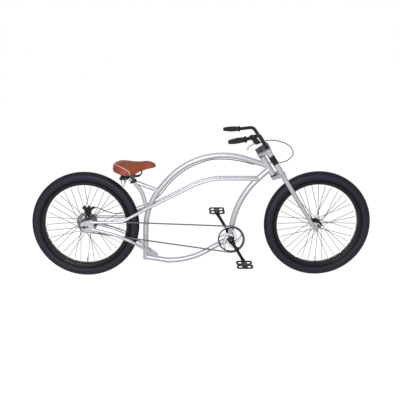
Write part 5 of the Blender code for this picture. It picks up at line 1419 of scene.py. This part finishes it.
fork = {
    "legAhead": 0.048, "legOut": 0.058, "legRadius": 0.0150, "legFoot": -0.020, "legTop": 0.600,
    "lowerCrown": 0.4049, "lowerThick": 0.024, "upperCrown": 0.5846, "upperThick": 0.020, "boss": 0.0215,
    "sleeveLow": 0.499, "sleeveHigh": 0.559, "sleeveRadius": 0.0190, "collar": 0.0175, "steererTop": 0.640,
    "rake": 0.0782,
}


def crownOutline():
    ahead, out, reach = fork["legAhead"], fork["legOut"], fork["legRadius"] + 0.006
    outline = arcPoints((0, 0), fork["boss"], radians(125), radians(235), 14)
    outline += arcPoints((ahead, -out), reach, radians(215), radians(400), 22)
    outline += [(ahead - 0.016, -0.030), (ahead - 0.019, 0.0), (ahead - 0.016, 0.030)]
    outline += arcPoints((ahead, out), reach, radians(-40), radians(145), 22)
    return outline


def buildCrown(name, node, low, thick):
    ahead, out = fork["legAhead"], fork["legOut"]
    holes = [circlePoints((0, 0), 0.0146, 36)]
    holes += [circlePoints((ahead, side * out), fork["legRadius"] + 0.0003, 36) for side in (-1, 1)]
    plate = plateMesh([crownOutline()] + holes, low, low + thick)
    addPiece(name, plate, "silverPaint", "steering", steerSpace, (node,), 0.0016)
    bolts = []
    for side in (-1, 1):
        for share in ((0.3, 0.7) if thick > 0.022 else (0.5,)):
            place = (ahead - 0.006, side * (out + fork["legRadius"] + 0.0035), low + thick * share)
            bolts.append(bolt(0.0036, 0.0032, place, -side * pi / 2))
    bolts.append(bolt(0.0038, 0.0034, (-fork["boss"] + 0.0005, 0, low + thick / 2), -pi / 2, "Y"))
    addPiece(f"{name}Bolts", joinedMesh(bolts), "darkAlloy", "steering", steerSpace)


def buildFork():
    foot, radius, top = fork["legFoot"], fork["legRadius"], fork["legTop"]
    lowEdge, highEdge = fork["lowerCrown"], fork["lowerCrown"] + fork["lowerThick"]
    profile = [(0, foot), (0.0078, foot), (0.0088, foot + 0.0012), (0.0105, foot + 0.030), (0.0122, 0.120),
        (0.0138, 0.210), (radius, 0.300)]
    for low, high in ((lowEdge - 0.010, lowEdge - 0.0003), (highEdge + 0.0003, fork["sleeveLow"] - 0.0003),
            (fork["sleeveHigh"] + 0.0003, fork["upperCrown"] - 0.0003)):
        collar = fork["collar"]
        profile += [(radius, low), (collar - 0.0008, low), (collar, low + 0.0008), (collar, high - 0.0008),
            (collar - 0.0008, high), (radius, high)]
    profile += [(radius, top - 0.003), (radius - 0.0012, top - 0.0008), (radius - 0.003, top), (0.006, top),
        (0.0055, top - 0.001), (0, top - 0.001)]
    for name, side in sides:
        place = steerSpace @ moved((fork["legAhead"], side * fork["legOut"], 0))
        leg = turnedMesh(profile, 48)
        rake = fork["rake"] - fork["legAhead"]
        tabOutline = roundedOutline([(-0.006, 0.045), (0.006, 0.045), (rake + 0.013, 0.010),
            (rake + 0.013, -0.013), (rake - 0.013, -0.013), (-0.006, foot + 0.004)], 0.3)
        hole = circlePoints((rake, 0), 0.0053, 20)
        tab = (plateMesh([tabOutline, hole], -0.003, 0.003),
            moved((0, side * (0.053 - fork["legOut"]), 0)) @ uprightTurn)
        addPiece(f"forkLeg{name}", joinedMesh([leg, tab]), "silverPaint", "steering", place,
            (f"fork_leg_{name.lower()}",))
        low, high, outer, bore = fork["sleeveLow"], fork["sleeveHigh"], fork["sleeveRadius"], radius + 0.0003
        sleeve = [(bore, low), (outer - 0.001, low), (outer, low + 0.001)]
        for index in range(1, 8):
            z = low + (high - low) * index / 8
            sleeve += [(outer, z - 0.0012), (outer - 0.0007, z - 0.0006), (outer - 0.0007, z + 0.0006),
                (outer, z + 0.0012)]
        sleeve += [(outer, high - 0.001), (outer - 0.001, high), (bore, high)]
        addPiece(f"forkSleeve{name}", turnedMesh(sleeve, 48, True), "satinBlack", "steering", place,
            (f"fork_sleeve_{name.lower()}",))
    buildCrown("lowerCrown", "lower_crown", fork["lowerCrown"], fork["lowerThick"])
    buildCrown("upperCrown", "upper_crown", fork["upperCrown"], fork["upperThick"])
    steerer = discMesh(0.0143, fork["lowerCrown"], fork["steererTop"], 40, 0.0006)
    addPiece("steererTube", steerer, "darkAlloy", "steering", steerSpace, ("steerer",))


stem = {"low": 0.6085, "height": 0.030, "back": 0.019, "barAhead": 0.052, "barUp": 0.616, "half": 0.0165,
    "clampHalf": 0.022, "clampWall": 0.0065}


def buildStem():
    low, high = stem["low"], stem["low"] + stem["height"]
    outline = arcPoints((0, 0), stem["back"], radians(60), radians(300), 30)
    outline += [(0.026, -stem["half"]), (stem["barAhead"] - 0.006, -stem["half"] - 0.003),
        (stem["barAhead"] - 0.006, stem["half"] + 0.003), (0.026, stem["half"])]
    body = plateMesh([outline, circlePoints((0, 0), 0.0146, 36)], low, high)
    ringOut = 0.0111 + stem["clampWall"]
    clamp = ringMesh(0.0114, ringOut, -stem["clampHalf"], stem["clampHalf"], 0.001, 48)
    atBar = moved((stem["barAhead"], 0, stem["barUp"])) @ acrossTurn
    addPiece("stemBody", joinedMesh([body, (clamp, atBar)]), "darkAlloy", "steering", steerSpace, ("stem",),
        0.0016)
    reach, middle = stem["barAhead"], stem["barUp"]
    bolts = [bolt(0.0032, 0.0042, (reach + 0.0195, across, middle + up), pi / 2, "Y")
        for across in (-0.0145, 0.0145) for up in (-0.0118, 0.0118)]
    bolts += [bolt(0.0034, 0.0038, (-stem["back"] + 0.001, 0.0, low + up), -pi / 2, "Y")
        for up in (0.008, 0.022)]
    front = blockMesh((reach + 0.0120, -0.0215, middle - 0.0165), (reach + 0.0200, 0.0215, middle + 0.0225))
    addPiece("stemPlate", front, "darkAlloy", "steering", steerSpace, rounding=0.0020)
    cap = turnedMesh([(0, high + 0.0012), (0.0040, high + 0.0012), (0.0045, high + 0.0016),
        (0.0135, high + 0.0016), (0.0142, high + 0.0008), (0.0142, high), (0, high)], 36)
    addPiece("stemBolts", joinedMesh(bolts + [cap]), "brightSteel", "steering", steerSpace)


bars = {"radius": 0.0111, "shape": ((0.0, 0.050, 0.0), (-0.0025, 0.1850, 0.1220), (-0.0786, 0.2450, 0.1490),
    (-0.1782, 0.2980, 0.1990)), "bends": (0.231, 0.283, 0.055), "gripInset": 0.010, "gripSteps": 60,
    "flange": ((0.0114, 0), (0.0195, 0), (0.0205, 0.001), (0.0205, 0.0035), (0.0190, 0.0045))}


def barCorner(index, side):
    ahead, out, up = bars["shape"][index]
    return Vector((stem["barAhead"] + ahead, side * out, stem["barUp"] + up))


def buildBars():
    corners = [barCorner(index, -1) for index in (3, 2, 1, 0)] + [barCorner(index, 1) for index in range(4)]
    path = bentPath(corners, tuple(reversed(bars["bends"])) + bars["bends"], radians(5))
    addPiece("handlebarTube", tubeMesh(path, bars["radius"], 28), "satinBlack", "steering", steerSpace,
        ("handlebar",))
    for name, side in sides:
        start, end = barCorner(2, side), barCorner(3, side)
        start = start + (end - start).normalized() * bars["gripInset"]
        length = (end - start).length
        profile, steps = list(bars["flange"]), bars["gripSteps"]
        for index in range(steps + 1):
            t = index / steps
            bulge = 0.0124 + 0.0050 * max(0.0, sin(pi * (0.06 + 0.94 * t) ** 0.9)) ** 0.8
            ridge = 0.0004 if 0.12 < t < 0.86 and index % 3 == 0 else 0.0
            profile.append((bulge + ridge, 0.0065 + (length - 0.0090) * t))
        profile += [(0.0120, length - 0.0008), (0.0113, length + 0.0008), (0.0080, length + 0.0030),
            (0.0040, length + 0.0040), (0, length + 0.0042), (0, length), (0.0110, length)]
        place = steerSpace @ between(start, end)
        addPiece(f"grip{name}", turnedMesh(profile, 40, True), "gripRubber", "steering", place,
            (f"grip_{name.lower()}",), sharpAngle=50)


lever = {
    "body": ((-0.0217, -0.1862, 0.0783), (-0.0400, -0.1969, 0.0842), (-0.0490, -0.2070, 0.0960),
        (-0.0497, -0.2185, 0.1240)),
    "bodyFactors": (0.75, 0.75, 1.35, 1.2),
    "blade": ((-0.0520, -0.2080, 0.0970), (-0.0709, -0.2175, 0.0975), (-0.0952, -0.2330, 0.1030),
        (-0.1088, -0.2430, 0.0890)),
    "bladeFactors": (1.1, 1.1, 0.9, 1.2), "perchShare": 0.62,
    "housing": ((-0.0497, -0.2185, 0.1190, 0.0070), (-0.0300, -0.2050, 0.1150, 0.0065),
        (-0.0490, -0.2080, 0.0965, 0.0080), (-0.0400, -0.1975, 0.0850, 0.0065),
        (-0.0240, -0.1880, 0.0800, 0.0055)),
    "ring": ((0.0113, -0.008), (0.0155, -0.008), (0.0161, -0.0072), (0.0161, 0.0072), (0.0155, 0.008),
        (0.0113, 0.008)),
    "barrel": ((0, -0.002), (0.0036, -0.002), (0.0044, 0.0), (0.0044, 0.009), (0.0038, 0.010),
        (0.0038, 0.014), (0.0046, 0.015), (0.0046, 0.021), (0, 0.021)),
}


def buildLever():
    atClamp = Vector((stem["barAhead"], 0, stem["barUp"]))
    first, second = barCorner(1, -1), barCorner(2, -1)
    centre = first.lerp(second, lever["perchShare"])
    ring = turnedMesh(lever["ring"], 36, True)
    body = [Vector(point) + atClamp for point in lever["body"]]
    arm = tubeMesh(smoothPath(body, 6), 0.0060, 20, easedFactors(lever["bodyFactors"]))
    barrel = turnedMesh(lever["barrel"], 24)
    ahead = (body[0] - body[1]).normalized()
    bottom = centre + Vector((0.0, 0.004, -0.0165))
    pinchBolt = (bolt(0.0034, 0.003, (0, 0, 0))[0], between(bottom, bottom - Vector((0, 0, 0.0135))))
    housing = hullMesh([(Vector(ball[:3]) + atClamp, ball[3]) for ball in lever["housing"]])
    addPiece("leverPerch", joinedMesh([(ring, between(centre, second)), arm, pinchBolt, housing]),
        "satinBlack", "steering", steerSpace, ("lever_perch",))
    addPiece("leverBarrel", barrel, "brightSteel", "steering", steerSpace
        @ between(body[0] - ahead * 0.021, body[0]))
    blade = [Vector(point) + atClamp for point in lever["blade"]]
    mesh = tubeMesh(smoothPath(blade, 7), 0.0045, 18, easedFactors(lever["bladeFactors"], 7))
    addPiece("leverBlade", mesh, "brightSteel", "steering", steerSpace, ("lever_blade",))


buildFork()
buildStem()
buildBars()
buildLever()
print("front end built")
